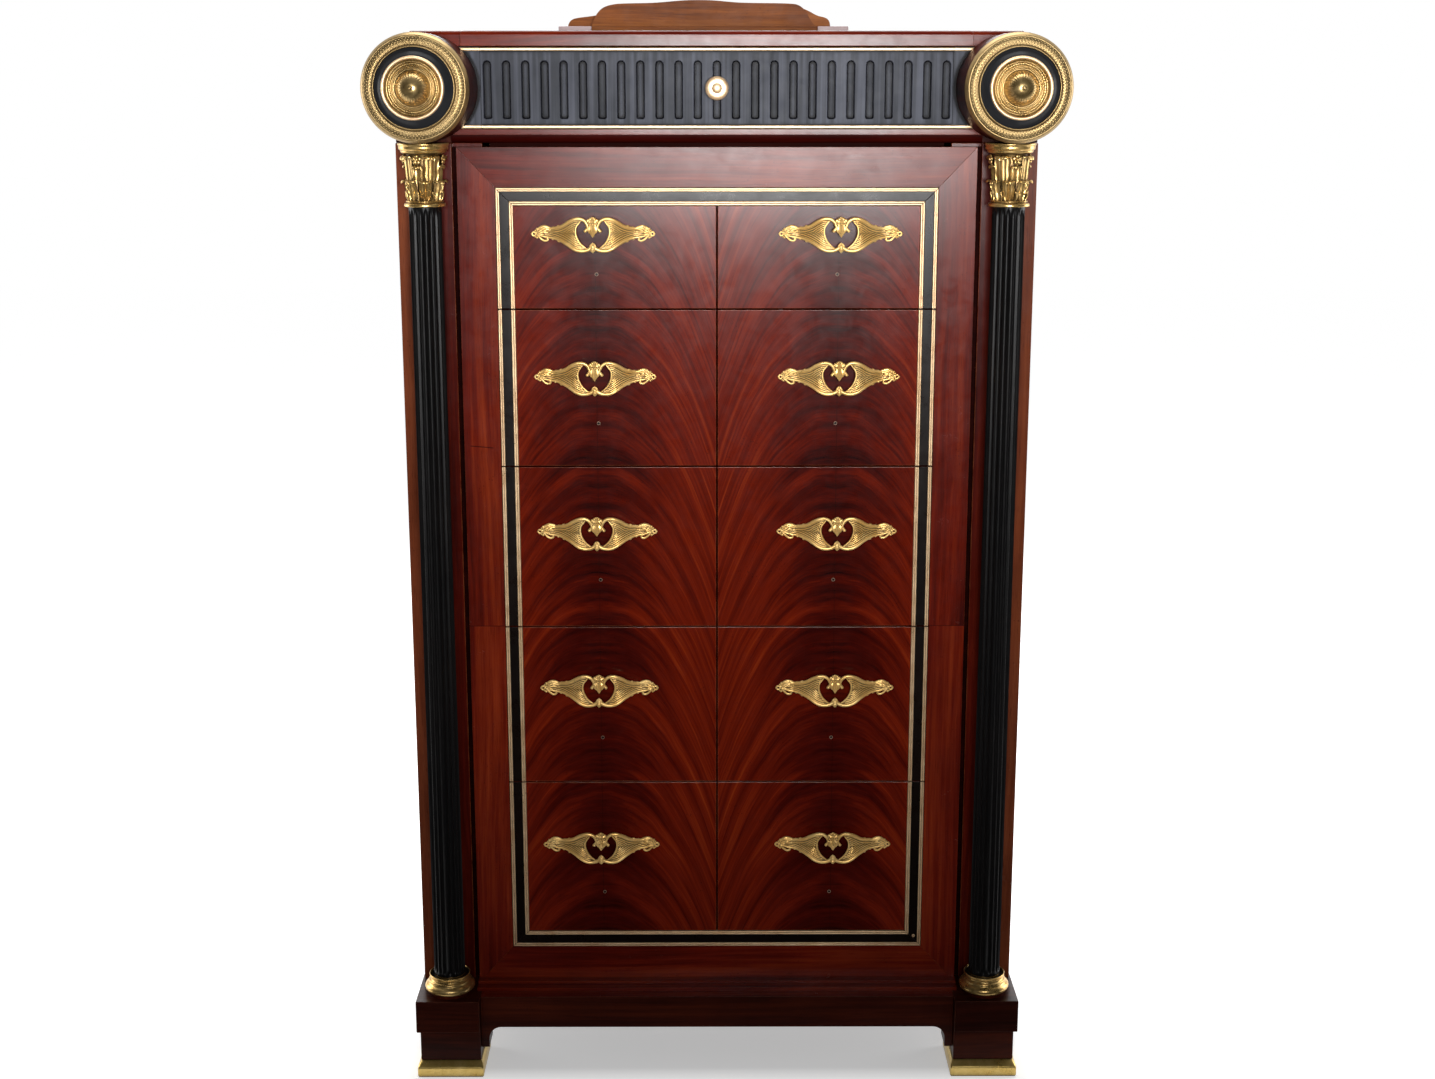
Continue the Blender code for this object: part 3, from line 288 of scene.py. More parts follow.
def polished_wood(name, along, colours, rough=0.22, shine=0.20, edge_wear_and_highlight=(0.30, 0.085, 0.030), edge_lightening=0.35,
                  outer=None, jointed=False):
    """Polished solid wood or straight veneer, arrises lighter for wear and a painted highlight, painted side
    light beyond outer.
    """
    mat, net, shader, place, age = new_finish(name)
    laid = second_length(net, place) if jointed else place
    grain = use(net, GRAIN, Vector=net.stretch(laid, (1, 1, 1), GRAIN_TURN[along]))
    tone = mixed_grain(net, grain, 0.55)
    colour = net.ramp(tone, zip(TONE_STOPS, colours))
    dark = colours[0]
    if outer:
        # Painted light: beyond outer the colour turns to lighter tones, as if that strip were lit from the
        # side
        away = net.math("ABSOLUTE", net.add("SeparateXYZ", Vector=place).outputs[0])
        colour = net.blend(net.remap(away, *outer), colour, net.ramp(tone, zip(TONE_STOPS, SIDE_LIT)))
    colour = net.blend(net.math("MULTIPLY", grain["Pores"], 0.35), colour, (*dark, 1))
    colour = net.blend(net.remap(age["Cloud"], 0.35, 0.70, 0.0, 0.35), colour, (*dark, 1))
    # Arrises lighter: partly wear, partly a painted highlight where edges catch the light
    colour = net.blend(worn_and_highlit_edge(net, age, 0.40, 0.62, edge_lightening / 5, edge_lightening), colour, (*edge_wear_and_highlight, 1))
    colour = net.blend(net.math("MULTIPLY", age["Speck"], 0.5), colour, (*dark, 1))
    if jointed:
        colour = net.blend(joint_and_crack(net, place), colour, SEAM_DARK)
    net.feed(shader.inputs["Base Color"], colour)
    wiped(net, shader, age, rough - 0.03, rough + 0.06)
    shader.inputs["Specular IOR Level"].default_value = shine
    bump(net, shader, net.math("ADD", net.math("MULTIPLY", grain["Pores"], -0.4), grain["Streaks"]), 0.025)
    return mat


def flame_veneer(name):
    """Polished crotch veneer, darkest on each column's axis."""
    mat, net, shader, place, age = new_finish(name)
    figure = use(net, FLAME, Vector=place)
    tone = net.math("ADD", net.math("MULTIPLY", figure["Bands"], 0.50),
                   net.math("ADD", net.math("MULTIPLY", figure["Streaks"], 0.38),
                           net.math("MULTIPLY", figure["Hairs"], 0.12)))
    spread = net.remap(figure["Away"], 0.0, 0.12, -0.140, 0.035)
    colour = net.ramp(net.math("ADD", tone, spread), zip(FLAME_STOPS, FLAME_COLOURS))
    colour = net.blend(net.math("MULTIPLY", figure["Joint"], 0.55), colour, (0.016, 0.002, 0.001, 1))
    # Arrises lighter: partly wear, partly a painted highlight where edges catch the light
    colour = net.blend(worn_and_highlit_edge(net, age, 0.38, 0.60, 0.10, 0.40), colour, (0.36, 0.10, 0.040, 1))
    colour = net.blend(net.math("MULTIPLY", age["Speck"], 0.45), colour, (0.012, 0.002, 0.001, 1))
    net.feed(shader.inputs["Base Color"], colour)
    wiped(net, shader, age, 0.17, 0.23)
    shader.inputs["Specular IOR Level"].default_value = 0.21
    bump(net, shader, figure["Streaks"], 0.03)
    return mat


def black_lacquer(name, colours, rough=0.28, shine=0.045, reach=0.0, grit=0.03):
    """Ebonised wood. With a reach its hollows are painted darker as shade, and it has upright streaks, as in
    carved flutes.
    """
    mat, net, shader, place, age = new_finish(name)
    colour, worn, arris = colours
    tone = net.blend(net.remap(age["Cloud"], 0.35, 0.70), (*colour, 1), (*worn, 1))
    # Arrises lighter: partly wear, partly a painted highlight where edges catch the light
    tone = net.blend(worn_and_highlit_edge(net, age, 0.42, 0.60, 0.1, 0.6), tone, (*arris, 1))
    if reach:
        # Painted shade: the colour turns near black where the occlusion finds a hollow, as in the flutes'
        # walls
        hollow = net.add("AmbientOcclusion", {"samples": 6}, Distance=reach).outputs["AO"]
        streak = net.noise(net.stretch(place, (130, 1, 3)), detail=2)
        tone = net.blend(net.remap(streak, 0.40, 0.66, 0.0, 0.75), tone, (0.085, 0.090, 0.114, 1))
        tone = net.blend(net.remap(hollow, 0.83, 1.0), (0.0015, 0.0012, 0.0020, 1), tone)
    tone = net.blend(net.math("MULTIPLY", age["Speck"], 0.25), tone, (0.040, 0.026, 0.020, 1))
    net.feed(shader.inputs["Base Color"], tone)
    wiped(net, shader, age, rough - 0.04, rough + 0.08)
    shader.inputs["Specular IOR Level"].default_value = shine
    if grit:
        bump(net, shader, age["Rub"], grit)
    return mat


def gilded(name, colours, rough, reach=0.009, metal=1.0):
    """Gilt casting: bright on the crowns, dull and brown in the hollows."""
    mat, net, shader, _, age = new_finish(name)
    bright, dull, deep = colours
    hollow = net.add("AmbientOcclusion", {"samples": 6}, Distance=reach).outputs["AO"]
    tone = net.blend(net.remap(age["Rub"], 0.36, 0.66), (*dull, 1), (*bright, 1))
    open_part = net.remap(hollow, 0.35, 0.92)
    tone = net.blend(open_part, (*deep, 1), tone)
    tone = net.blend(net.math("MULTIPLY", age["Speck"], 0.55), tone, (*deep, 1))
    net.feed(shader.inputs["Base Color"], tone)
    net.feed(shader.inputs["Metallic"], net.remap(open_part, 0.0, 1.0, 0.75 * metal, metal))
    wiped(net, shader, age, rough - 0.08, rough + 0.12)
    bump(net, shader, age["Rub"], 0.10, 0.0006)
    return mat


def raw_wood(name, along, colours):
    """Unpolished wood of the insides."""
    mat, net, shader, place, age = new_finish(name)
    grain = use(net, GRAIN, Vector=net.stretch(place, (1, 1, 1), GRAIN_TURN[along]))
    tone = mixed_grain(net, grain, 0.6)
    colour = net.ramp(tone, zip((0.32, 0.66), colours))
    dark = colours[0]
    colour = net.blend(net.math("MULTIPLY", grain["Pores"], 0.4), colour, (*dark, 1))
    colour = net.blend(net.remap(age["Cloud"], 0.45, 0.75, 0.0, 0.5), colour, (*dark, 1))
    net.feed(shader.inputs["Base Color"], colour)
    wiped(net, shader, age, 0.55, 0.72)
    shader.inputs["Specular IOR Level"].default_value = 0.3
    bump(net, shader, grain["Streaks"], 0.15)
    return mat


# Colours: woods from dark to light, black wood from plain to worn to its arrises, painted lighter there for
# wear and as a highlight, gilding from bright to deep
TONE_STOPS = (0.34, 0.50, 0.68)
FLAME_STOPS = (0.26, 0.42, 0.56, 0.74)
FLAME_COLOURS = ((0.014, 0.0007, 0.0005), (0.058, 0.0028, 0.0008), (0.128, 0.0080, 0.0014),
                 (0.245, 0.0280, 0.0042))
MAHOGANY = ((0.030, 0.0016, 0.0008), (0.115, 0.0070, 0.0018), (0.230, 0.0260, 0.0050))
# The pier's colours are darker than the frame's as painted shade from the columns; SIDE_LIT is painted light
# on its outer strip
PIER_SHADED = ((0.022, 0.0012, 0.0007), (0.072, 0.0050, 0.0018), (0.150, 0.0160, 0.0040))
SIDE_LIT = ((0.092, 0.0190, 0.0070), (0.158, 0.0360, 0.0130), (0.225, 0.0580, 0.0210))
CREST = ((0.050, 0.0110, 0.0022), (0.220, 0.0600, 0.0060), (0.390, 0.1300, 0.0190))
# Pale pinkish colours for the crest plate's ends: a painted highlight
PLATE_END_HIGHLIGHT = ((0.300, 0.2000, 0.1900), (0.470, 0.3450, 0.3500), (0.580, 0.4500, 0.4600))
PLINTH = ((0.013, 0.0018, 0.0008), (0.044, 0.0062, 0.0024), (0.105, 0.0165, 0.0050))
# The cove's colours are painted shade, far darker than the rail above it
COVE_SHADED = ((0.0100, 0.0007, 0.0005), (0.0270, 0.0015, 0.0009), (0.0520, 0.0036, 0.0018))
# Near-black colours for sheets of painted shade in gaps and seams
GAP_SHADE = ((0.0050, 0.0006, 0.0004), (0.0110, 0.0010, 0.0006), (0.0240, 0.0024, 0.0012))
INNER = ((0.240, 0.1350, 0.0600), (0.460, 0.3000, 0.1600))
EBONY = ((0.0040, 0.0018, 0.0012), (0.0075, 0.0034, 0.0022), (0.024, 0.013, 0.008))
FRIEZE_BLACK = ((0.025, 0.027, 0.034), (0.046, 0.049, 0.060), (0.14, 0.14, 0.17))
SHAFT_BLACK = ((0.0034, 0.0032, 0.0034), (0.0050, 0.0042, 0.0042), (0.006, 0.006, 0.006))
RING_BLACK = ((0.014, 0.015, 0.017), (0.021, 0.022, 0.025), (0.04, 0.04, 0.045))
GILT = ((0.90, 0.62, 0.25), (0.62, 0.38, 0.11), (0.050, 0.021, 0.004))
# The shoes' and handles' gilding is a brighter copy of the same gilt bronze: painted light where the lamps
# reach them less
SABOT_GILT_LIT = ((0.92, 0.68, 0.24), (0.70, 0.47, 0.12), (0.060, 0.030, 0.006))
HANDLE_GILT_LIT = ((1.00, 0.69, 0.27), (0.94, 0.56, 0.17), (0.085, 0.036, 0.006))
STRING_GILT = ((1.00, 0.74, 0.46), (0.86, 0.56, 0.31), (0.12, 0.06, 0.02))
# The rosettes' gilding is a darker copy of the same gilt bronze: painted shade
ROSETTE_GILT_SHADED = ((0.58, 0.41, 0.18), (0.38, 0.25, 0.09), (0.040, 0.018, 0.004))
RIM_GILT_SHADED = ((0.44, 0.31, 0.14), (0.30, 0.20, 0.08), (0.034, 0.015, 0.003))
DULL_BRASS = ((0.30, 0.20, 0.14), (0.16, 0.09, 0.06), (0.020, 0.010, 0.006))

wood_up = polished_wood("mahogany_upright", "Z", MAHOGANY, jointed=True)
wood_across = polished_wood("mahogany_across", "X", MAHOGANY, shine=0.15)
pier_wood = polished_wood("mahogany_pier_painted_shade", "Z", PIER_SHADED, shine=0.12, outer=(0.4475, 0.4560))
drum_wood = polished_wood("mahogany_drum", "Y", PLINTH, rough=0.34, shine=0.04, edge_lightening=0.05)
plinth_wood = polished_wood("mahogany_plinth", "X", PLINTH, rough=0.34, shine=0.08, edge_wear_and_highlight=(0.16, 0.05, 0.025),
                            edge_lightening=0.3)
gap_shade_wood = polished_wood("mahogany_gap_shade", "X", GAP_SHADE, rough=0.50, shine=0.01, edge_lightening=0.0)
shaded_cove_wood = polished_wood("mahogany_cove_shaded", "X", COVE_SHADED, rough=0.36, shine=0.04, edge_lightening=0.05)
crest_wood = polished_wood("crest_wood", "X", CREST, rough=0.40, shine=0.06, edge_wear_and_highlight=(0.16, 0.05, 0.02), edge_lightening=0.4)
highlit_plate_wood = polished_wood("crest_plate_painted_highlight", "X", PLATE_END_HIGHLIGHT, rough=0.34, edge_wear_and_highlight=(0.62, 0.50, 0.50))
flame = flame_veneer("flame_veneer")
ebony = black_lacquer("ebonised_wood", EBONY, shine=0.20)
frieze_black = black_lacquer("frieze_black", FRIEZE_BLACK, rough=0.42, shine=0.08, reach=0.006)
shaft_black = black_lacquer("shaft_black", SHAFT_BLACK, rough=0.34, shine=0.22, grit=0.0)
ring_black = black_lacquer("ring_black", RING_BLACK, rough=0.30, shine=0.12, grit=0.01)
gilt = gilded("gilt_bronze", GILT, 0.29, metal=0.88)
lit_sabot_gilt = gilded("lit_sabot_gilt", SABOT_GILT_LIT, 0.32, metal=0.65)
lit_handle_gilt = gilded("lit_handle_gilt", HANDLE_GILT_LIT, 0.36, 0.005, 0.60)
string_gilt = gilded("string_gilt", STRING_GILT, 0.38, 0.003, 0.65)
shaded_rosette_gilt = gilded("shaded_rosette_gilt", ROSETTE_GILT_SHADED, 0.29, metal=0.9)
shaded_rim_gilt = gilded("shaded_rim_gilt", RIM_GILT_SHADED, 0.40, metal=0.85)
dull_brass = gilded("dull_brass", DULL_BRASS, 0.46, 0.003, 0.5)
inner_across = raw_wood("inner_wood_across", "X", INNER)
inner_deep = raw_wood("inner_wood_deep", "Y", INNER)


def piece(name, form, mat, slot, body, replaces=(), sharp=40, even=False):
    """Turn a finished bmesh into an object that rides on its body."""
    mesh = bpy.data.meshes.new(name)
    form.to_mesh(mesh)
    form.free()
    mesh.shade_smooth()
    mesh.set_sharp_from_angle(angle=math.radians(sharp))
    mesh.materials.append(mat)
    obj = bpy.data.objects.new(name, mesh)
    bpy.context.scene.collection.objects.link(obj)
    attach(obj, body)
    if replaces:
        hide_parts(*replaces)
    if even:
        keep_flat = obj.modifiers.new("flat_faces", "WEIGHTED_NORMAL")
        keep_flat.keep_sharp = True


def rounded(form, edges, radius, segments):
    """Bevel some edges and give back the new faces."""
    made = bmesh.ops.bevel(form, geom=edges, offset=radius, offset_type="OFFSET", segments=segments,
                           profile=0.5, affect="EDGES", material=-1, clamp_overlap=True)
    return made["faces"]


def ease(form, radius, segments=2, least=28):
    """Round the arrises and mark them, so that a finish can be made lighter there, for wear and as a painted
    highlight.
    """
    layer = form.loops.layers.float.get("edge") or form.loops.layers.float.new("edge")
    edges = [e for e in form.edges if e.is_manifold and e.calc_face_angle(0) > math.radians(least)]
    for face in rounded(form, edges, radius, segments):
        for loop in face.loops:
            loop[layer] = 1.0
    return form


def only(kind, geom):
    """The verts, edges or faces among the geometry that an operator gives back."""
    return [part for part in geom if isinstance(part, kind)]


def solid_of(node):
    """A CAD node's own form as one clean closed solid with flat faces joined up."""
    form = bmesh.new()
    form.from_mesh(NODES[node].data)
    bmesh.ops.remove_doubles(form, verts=form.verts, dist=0.00001)
    bmesh.ops.dissolve_limit(form, angle_limit=math.radians(0.5), verts=form.verts, edges=form.edges)
    return form


def eased_node(node, mat, slot, radius, segments=2):
    """The CAD form itself with eased arrises, on its own body."""
    form = ease(solid_of(node), radius, segments)
    piece(node + "_eased", form, mat, slot, BODY_OF[node], (node,), even=True)


def oblong(x0, x1, z0, z1):
    """The outline of a rectangle."""
    return [(x0, z0), (x1, z0), (x1, z1), (x0, z1)]


def slab(outline, front, back):
    """An upright outline drawn out from front to back."""
    form = bmesh.new()
    face = form.faces.new([form.verts.new((x, front, z)) for x, z in outline])
    drawn = bmesh.ops.extrude_face_region(form, geom=[face])["geom"]
    bmesh.ops.translate(form, vec=(0, back - front, 0), verts=only(VERT, drawn))
    bmesh.ops.recalc_face_normals(form, faces=form.faces)
    return form


def closed(form):
    """Merge a form's doubles and turn its faces outwards."""
    bmesh.ops.remove_doubles(form, verts=form.verts, dist=0.000002)
    bmesh.ops.recalc_face_normals(form, faces=form.faces)
    return form


def cut_beyond(form, place, way, fill=bmesh.ops.holes_fill):
    """Cut a solid by a plane, take away what lies beyond it and close the cut with a filling operator."""
    whole = list(form.verts) + list(form.edges) + list(form.faces)
    cut = bmesh.ops.bisect_plane(form, geom=whole, dist=0.000001, plane_co=place, plane_no=way,
                                 clear_outer=True)
    fill(form, edges=only(EDGE, cut["geom_cut"]))
    return closed(form)


def cut_off(node, z, up):
    """A node's solid without what lies above a level for up 1, or below it for up -1."""
    return cut_beyond(solid_of(node), (0, 0, z), (0, 0, up))


def set_at(form, place, forward=False):
    """Move a form to its place, where asked with its axis turned to point forward."""
    if forward:
        quarter = Matrix.Rotation(math.pi / 2, 3, "X")
        bmesh.ops.rotate(form, verts=form.verts, cent=(0, 0, 0), matrix=quarter)
    bmesh.ops.translate(form, vec=place, verts=form.verts)
    return form


def softened(points, rounds):
    """Cut the corners of an open profile again and again, keeping its two ends."""
    for _ in range(rounds):
        cut = [points[0]]
        for (a, b), (c, d) in zip(points, points[1:]):
            cut += [(a * 0.75 + c * 0.25, b * 0.75 + d * 0.25), (a * 0.25 + c * 0.75, b * 0.25 + d * 0.75)]
        points = cut + [points[-1]]
    return points


def turned(profile, steps=72, place=(0, 0, 0), forward=False):
    """Spin pairs of radius and height about a vertical axis, or about one that points forward."""
    form = bmesh.new()
    verts = [form.verts.new((r, 0, h)) for r, h in profile]
    edges = [form.edges.new(pair) for pair in zip(verts, verts[1:])]
    bmesh.ops.spin(form, geom=verts + edges, cent=(0, 0, 0), axis=(0, 0, 1), angle=math.tau, steps=steps,
                   use_merge=True, use_duplicate=False)
    return set_at(closed(form), place, forward)


def add_form(form, other):
    """Put another bmesh's shells into this one."""
    mesh = bpy.data.meshes.new("part")
    other.to_mesh(mesh)
    other.free()
    form.from_mesh(mesh)
    bpy.data.meshes.remove(mesh)


def ring_of(form, count):
    """Repeat a form's shells round the vertical axis."""
    whole = list(form.verts) + list(form.edges) + list(form.faces)
    bmesh.ops.spin(form, geom=whole, cent=(0, 0, 0), axis=(0, 0, 1), angle=math.tau * (count - 1) / count,
                   steps=count - 1, use_duplicate=True)
    return form


def scale_ring(count, radius, height, radii, lean, sides=8, rings=6, start=0):
    """A ring of small raised scales, each one the same swelling."""
    form = bmesh.new()
    place = (Matrix.Rotation(start, 4, "Z") @ Matrix.Translation((radius, 0, height)) @
             Matrix.Rotation(lean, 4, "Z") @ Matrix.Diagonal((*radii, 1)))
    bmesh.ops.create_uvsphere(form, u_segments=sides, v_segments=rings, radius=1, matrix=place)
    return ring_of(form, count)


def bead(form, centre, radii, sides=12, rings=8):
    """A small round or oval swelling of a casting."""
    place = Matrix.Translation(centre) @ Matrix.Diagonal((*radii, 1))
    bmesh.ops.create_uvsphere(form, u_segments=sides, v_segments=rings, radius=1, matrix=place)


def rod(form, points, radii, sides=2, steps=4, cyclic=False):
    """A round member along a smooth path, thicker or thinner at each point."""
    curve = bpy.data.curves.new("rod", "CURVE")
    curve.dimensions = "3D"
    curve.bevel_depth = 1
    curve.bevel_resolution = sides
    curve.resolution_u = steps
    curve.use_fill_caps = not cyclic
    spline = curve.splines.new("BEZIER")
    spline.bezier_points.add(len(points) - 1)
    for knot, point, radius in zip(spline.bezier_points, points, radii):
        knot.co = point
        knot.radius = radius
        knot.handle_left_type = knot.handle_right_type = "AUTO"
    spline.use_cyclic_u = cyclic
    holder = bpy.data.objects.new("rod", curve)
    mesh = bpy.data.meshes.new_from_object(holder)
    bpy.data.objects.remove(holder)
    bpy.data.curves.remove(curve)
    form.from_mesh(mesh)
    bpy.data.meshes.remove(mesh)


def sheet(form, columns, rows, at):
    """A thin closed shell. at(u, v, side) gives its front for side 0 and its back for side 1."""
    rims = []
    for side in (0, 1):
        verts = set(bmesh.ops.create_grid(form, x_segments=columns, y_segments=rows, size=0.5)["verts"])
        rims += [edge for edge in form.edges if edge.is_boundary and edge.verts[0] in verts]
        for vert in verts:
            vert.co = at(vert.co.x + 0.5, vert.co.y + 0.5, side)
    bmesh.ops.bridge_loops(form, edges=rims)


def run(section, start, end, along="Z"):
    """Draw a section out between two ends that follow the section's own width, for mitres."""
    form = bmesh.new()
    face = form.faces.new([form.verts.new((across, depth, 0)) for across, depth in section])
    drawn = bmesh.ops.extrude_face_region(form, geom=[face])["geom"]
    bmesh.ops.translate(form, vec=(0, 0, 1), verts=only(VERT, drawn))
    for vert in form.verts:
        across, depth = vert.co.x, vert.co.y
        way = end(across) if vert.co.z > 0.5 else start(across)
        vert.co = (across, depth, way) if along == "Z" else (way, depth, across)
    return closed(form)


def double_bead(a, b, face, proud, sunk):
    """The section of a stringing: two half-round beads with a groove between them."""
    width = (b - a) / 2
    points = [(a, face + sunk)]
    for k in range(2):
        for i in range(6):
            angle = math.pi * (0.06 + 0.88 * i / 5)
            across = a + width * (k + 0.5 - 0.44 * math.cos(angle))
            points.append((across, face - proud * math.sin(angle)))
    points.append((b, face + sunk))
    return points


def single_bead(a, b, face, proud, sunk):
    """The section of a half-round bead."""
    points = [(a, face + sunk)]
    for i in range(10):
        angle = math.pi * (0.04 + 0.92 * i / 9)
        points.append(((a + b) / 2 - (b - a) * 0.5 * math.cos(angle), face - proud * math.sin(angle)))
    return points + [(b, face + sunk)]


# Sizes repeated from the part's source
OPEN_HALF_W = 0.3256
BAND_W = 0.0266
BAND_GAP = 0.0004
STRING_W = 0.0066
STRING_PROUD = 0.0012
SEAM = 0.0024
EDGE_GAP = 0.0006
FRONT_GAP = 0.0005
FACING = 0.004
ROWS_HEIGHT = 1.1433
ROW_SHARES = (0.1329, 0.2076, 0.2194, 0.2205, 0.2196)
HANDLE_HALF = 0.0910
HANDLE_BOW = 0.0150
ROSETTE_R = 0.0732
FLUTE_PITCH = 0.0273
FLUTE_LIFT = 0.0132
FLUTE_LENGTH = 0.084
FLUTE_END_R = 0.00635
FLUTE_DEPTH = 0.004
FRIEZE_STRING_W = 0.005

# Hairline between two dressed pieces, and how far arrises are rounded
JOINT = 0.0001
FINE_ARRIS = 0.0003
THIN_ARRIS = 0.0004
RACK_ARRIS = 0.0005
PLAIN_ARRIS = 0.0006
VENEER_ARRIS = 0.0007
BOARD_ARRIS = 0.0008
FLUTE_ARRIS = 0.0009
PLINTH_ARRIS = 0.0010
ROUND_ARRIS = 0.0012
CREST_ARRIS = 0.0016
SABOT_ARRIS = 0.0030
BROW_ARRIS = 0.0070

# Places read from the frame
FRAME_LOW, FRAME_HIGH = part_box("face_frame")
FACE_Y = FRAME_LOW.y
BACK_Y = FRAME_HIGH.y
FRIEZE_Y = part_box("frieze_case")[0].y
ROW_HEIGHTS = tuple(share * ROWS_HEIGHT for share in ROW_SHARES)
ROWS_Z0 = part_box("band_bottom")[1].z
ROWS_Z1 = ROWS_Z0 + sum(ROW_HEIGHTS)
ROW_TOPS = [ROWS_Z1 - sum(ROW_HEIGHTS[:row]) for row in range(len(ROW_HEIGHTS))]
OPEN_Z0 = ROWS_Z0 - BAND_W
OPEN_Z1 = ROWS_Z1 + BAND_W
SIDES = ((-1, "left"), (1, "right"))
DRAWERS = [("drawer_%d_%s" % (row + 1, side), sign, row)
           for row in range(len(ROW_HEIGHTS)) for sign, side in SIDES]


def frame_pieces():
    """The mitred frame round the drawers: two stiles and two rails."""
    outer, inner = FRAME_HIGH.x, OPEN_HALF_W
    for sign, side in SIDES:
        outline = [(sign * outer, FRAME_LOW.z + JOINT), (sign * inner, OPEN_Z0 + JOINT),
                   (sign * inner, OPEN_Z1 - JOINT), (sign * outer, FRAME_HIGH.z - JOINT)]
        piece("stile_" + side, ease(slab(outline, FACE_Y, BACK_Y), FINE_ARRIS), wood_up, "mahogany", "case",
              ("face_frame",), even=True)
    for name, z_out, z_in in (("frame_rail_top", FRAME_HIGH.z, OPEN_Z1),
                              ("frame_rail_bottom", FRAME_LOW.z, OPEN_Z0)):
        outline = [(-outer + JOINT, z_out), (outer - JOINT, z_out),
                   (inner - JOINT, z_in), (-inner + JOINT, z_in)]
        piece(name, ease(slab(outline, FACE_Y, BACK_Y), FINE_ARRIS), wood_across, "mahogany", "case",
              ("face_frame",), even=True)


def band_pieces(name, z_out, z_in, up):
    """An ebonised rail above or below the drawers with mitred ends: core, black strip and two stringings."""
    def end(z):
        return OPEN_HALF_W - BAND_W + abs(z - z_in)

    def start(z):
        return -end(z)

    z_edge = z_out - up * BAND_GAP
    levels = [z_in, z_in + up * STRING_W, z_edge - up * (STRING_W - BAND_GAP), z_edge]
    core = run(oblong(z_in, z_edge, FACE_Y + FACING + JOINT, BACK_Y), start, end, "X")
    piece(name + "_core", core, ebony, "ebonised_wood", "case", (name,))
    section = oblong(levels[1] + up * JOINT, levels[2] - up * JOINT, FACE_Y, FACE_Y + FACING)
    strip = ease(run(section, start, end, "X"), FINE_ARRIS)
    piece(name + "_strip", strip, ebony, "ebonised_wood", "case", (name,), even=True)
    strings = bmesh.new()
    for a, b in (levels[:2], levels[2:]):
        add_form(strings, run(double_bead(a, b, FACE_Y, STRING_PROUD, FACING), start, end, "X"))
    piece(name + "_strings", closed(strings), string_gilt, "gilt_bronze", "case", (name,), 60)


# Keyholes and the stud: profiles of radius and height
KEYHOLE_X = 0.178
KEYHOLE_DROPS = (0.1004, 0.1715, 0.1766, 0.1792, 0.1843)
KEYHOLE_RIM = ((0.0018, -0.002), (0.0018, 0.0001), (0.0020, 0.0004), (0.0026, 0.0004), (0.0029, 0.0001),
               (0.0029, -0.002), (0.0018, -0.002))
KEYHOLE_SHADE_DISC = ((0, 0.0001), (0.0019, 0.0001), (0.0019, -0.002), (0, -0.002))
STUD_X = 0.3135
STUD_Z = 0.2072
STUD_DISH = ((0.0004, 0.0007), (0.0009, 0.0006), (0.0013, 0.0014), (0.0022, 0.0014), (0.0027, 0.0006),
             (0.0027, -0.0010))
STUD_BACK = (0, -0.0010)


def keyhole_pieces(tag, place):
    """A dark disc in a small rim, near the lower edge of a drawer front; the disc is painted shade for the
    hole.
    """
    rim = turned(softened(KEYHOLE_RIM, 1), 24, place, True)
    piece(tag + "_keyhole_rim", rim, dull_brass, "gilt_bronze", tag)
    # Painted shade: a flush dark disc where the keyhole would be
    piece(tag + "_keyhole", turned(KEYHOLE_SHADE_DISC, 20, place, True), ebony, "ebonised_wood", tag)


def drawer_front(tag, sign, row):
    """Veneered board, black strip and its stringings on one core, mitred at the first and last rows."""
    first, last = row == 0, row == len(ROW_HEIGHTS) - 1
    top = ROW_TOPS[row] - (EDGE_GAP if first else SEAM / 2)
    low = ROW_TOPS[row] - ROW_HEIGHTS[row] + (EDGE_GAP if last else SEAM / 2)
    inside = SEAM / 2
    outside = OPEN_HALF_W - FRONT_GAP
    turn = OPEN_HALF_W - BAND_W + EDGE_GAP / 2

    def z_top(x):
        return top + (max(0, abs(x) - turn) if first else 0)

    def z_low(x):
        return low - (max(0, abs(x) - turn) if last else 0)

    front = (tag + "_front",)
    outline = ((inside, low), (turn, low), (outside, z_low(outside)), (outside, z_top(outside)), (turn, top),
               (inside, top))
    core = slab([(sign * x, z) for x, z in outline], FACE_Y + FACING + JOINT, BACK_Y)
    piece(tag + "_core", ease(core, THIN_ARRIS), wood_across, "mahogany", tag, front, even=True)
    field = slab(oblong(sign * inside, sign * (turn - JOINT), low, top), FACE_Y, FACE_Y + FACING)
    piece(tag + "_veneer", ease(field, VENEER_ARRIS), flame, "flame_veneer", tag, front, even=True)
    inner_string = (turn, turn + STRING_W)
    outer_string = (outside - STRING_W + FRONT_GAP, outside)
    x0, x1 = sign * (inner_string[1] + JOINT), sign * (outer_string[0] - JOINT)
    strip = ease(run(oblong(x0, x1, FACE_Y, FACE_Y + FACING), z_low, z_top), FINE_ARRIS)
    piece(tag + "_strip", strip, ebony, "ebonised_wood", tag, front, even=True)
    strings = bmesh.new()
    for a, b in (inner_string, outer_string):
        add_form(strings, run(double_bead(sign * a, sign * b, FACE_Y, STRING_PROUD, FACING), z_low, z_top))
    piece(tag + "_strings", closed(strings), string_gilt, "gilt_bronze", tag, front, 60)
    keyhole_pieces(tag, (sign * KEYHOLE_X, FACE_Y, ROW_TOPS[row] - KEYHOLE_DROPS[row]))


def stud_piece():
    """A small dished stud low on the right side."""
    profile = softened(STUD_DISH, 2) + [STUD_BACK]
    piece("stud", turned(profile, 24, (STUD_X, FACE_Y, STUD_Z), True), string_gilt, "gilt_bronze",
          "drawer_5_right", sharp=60)


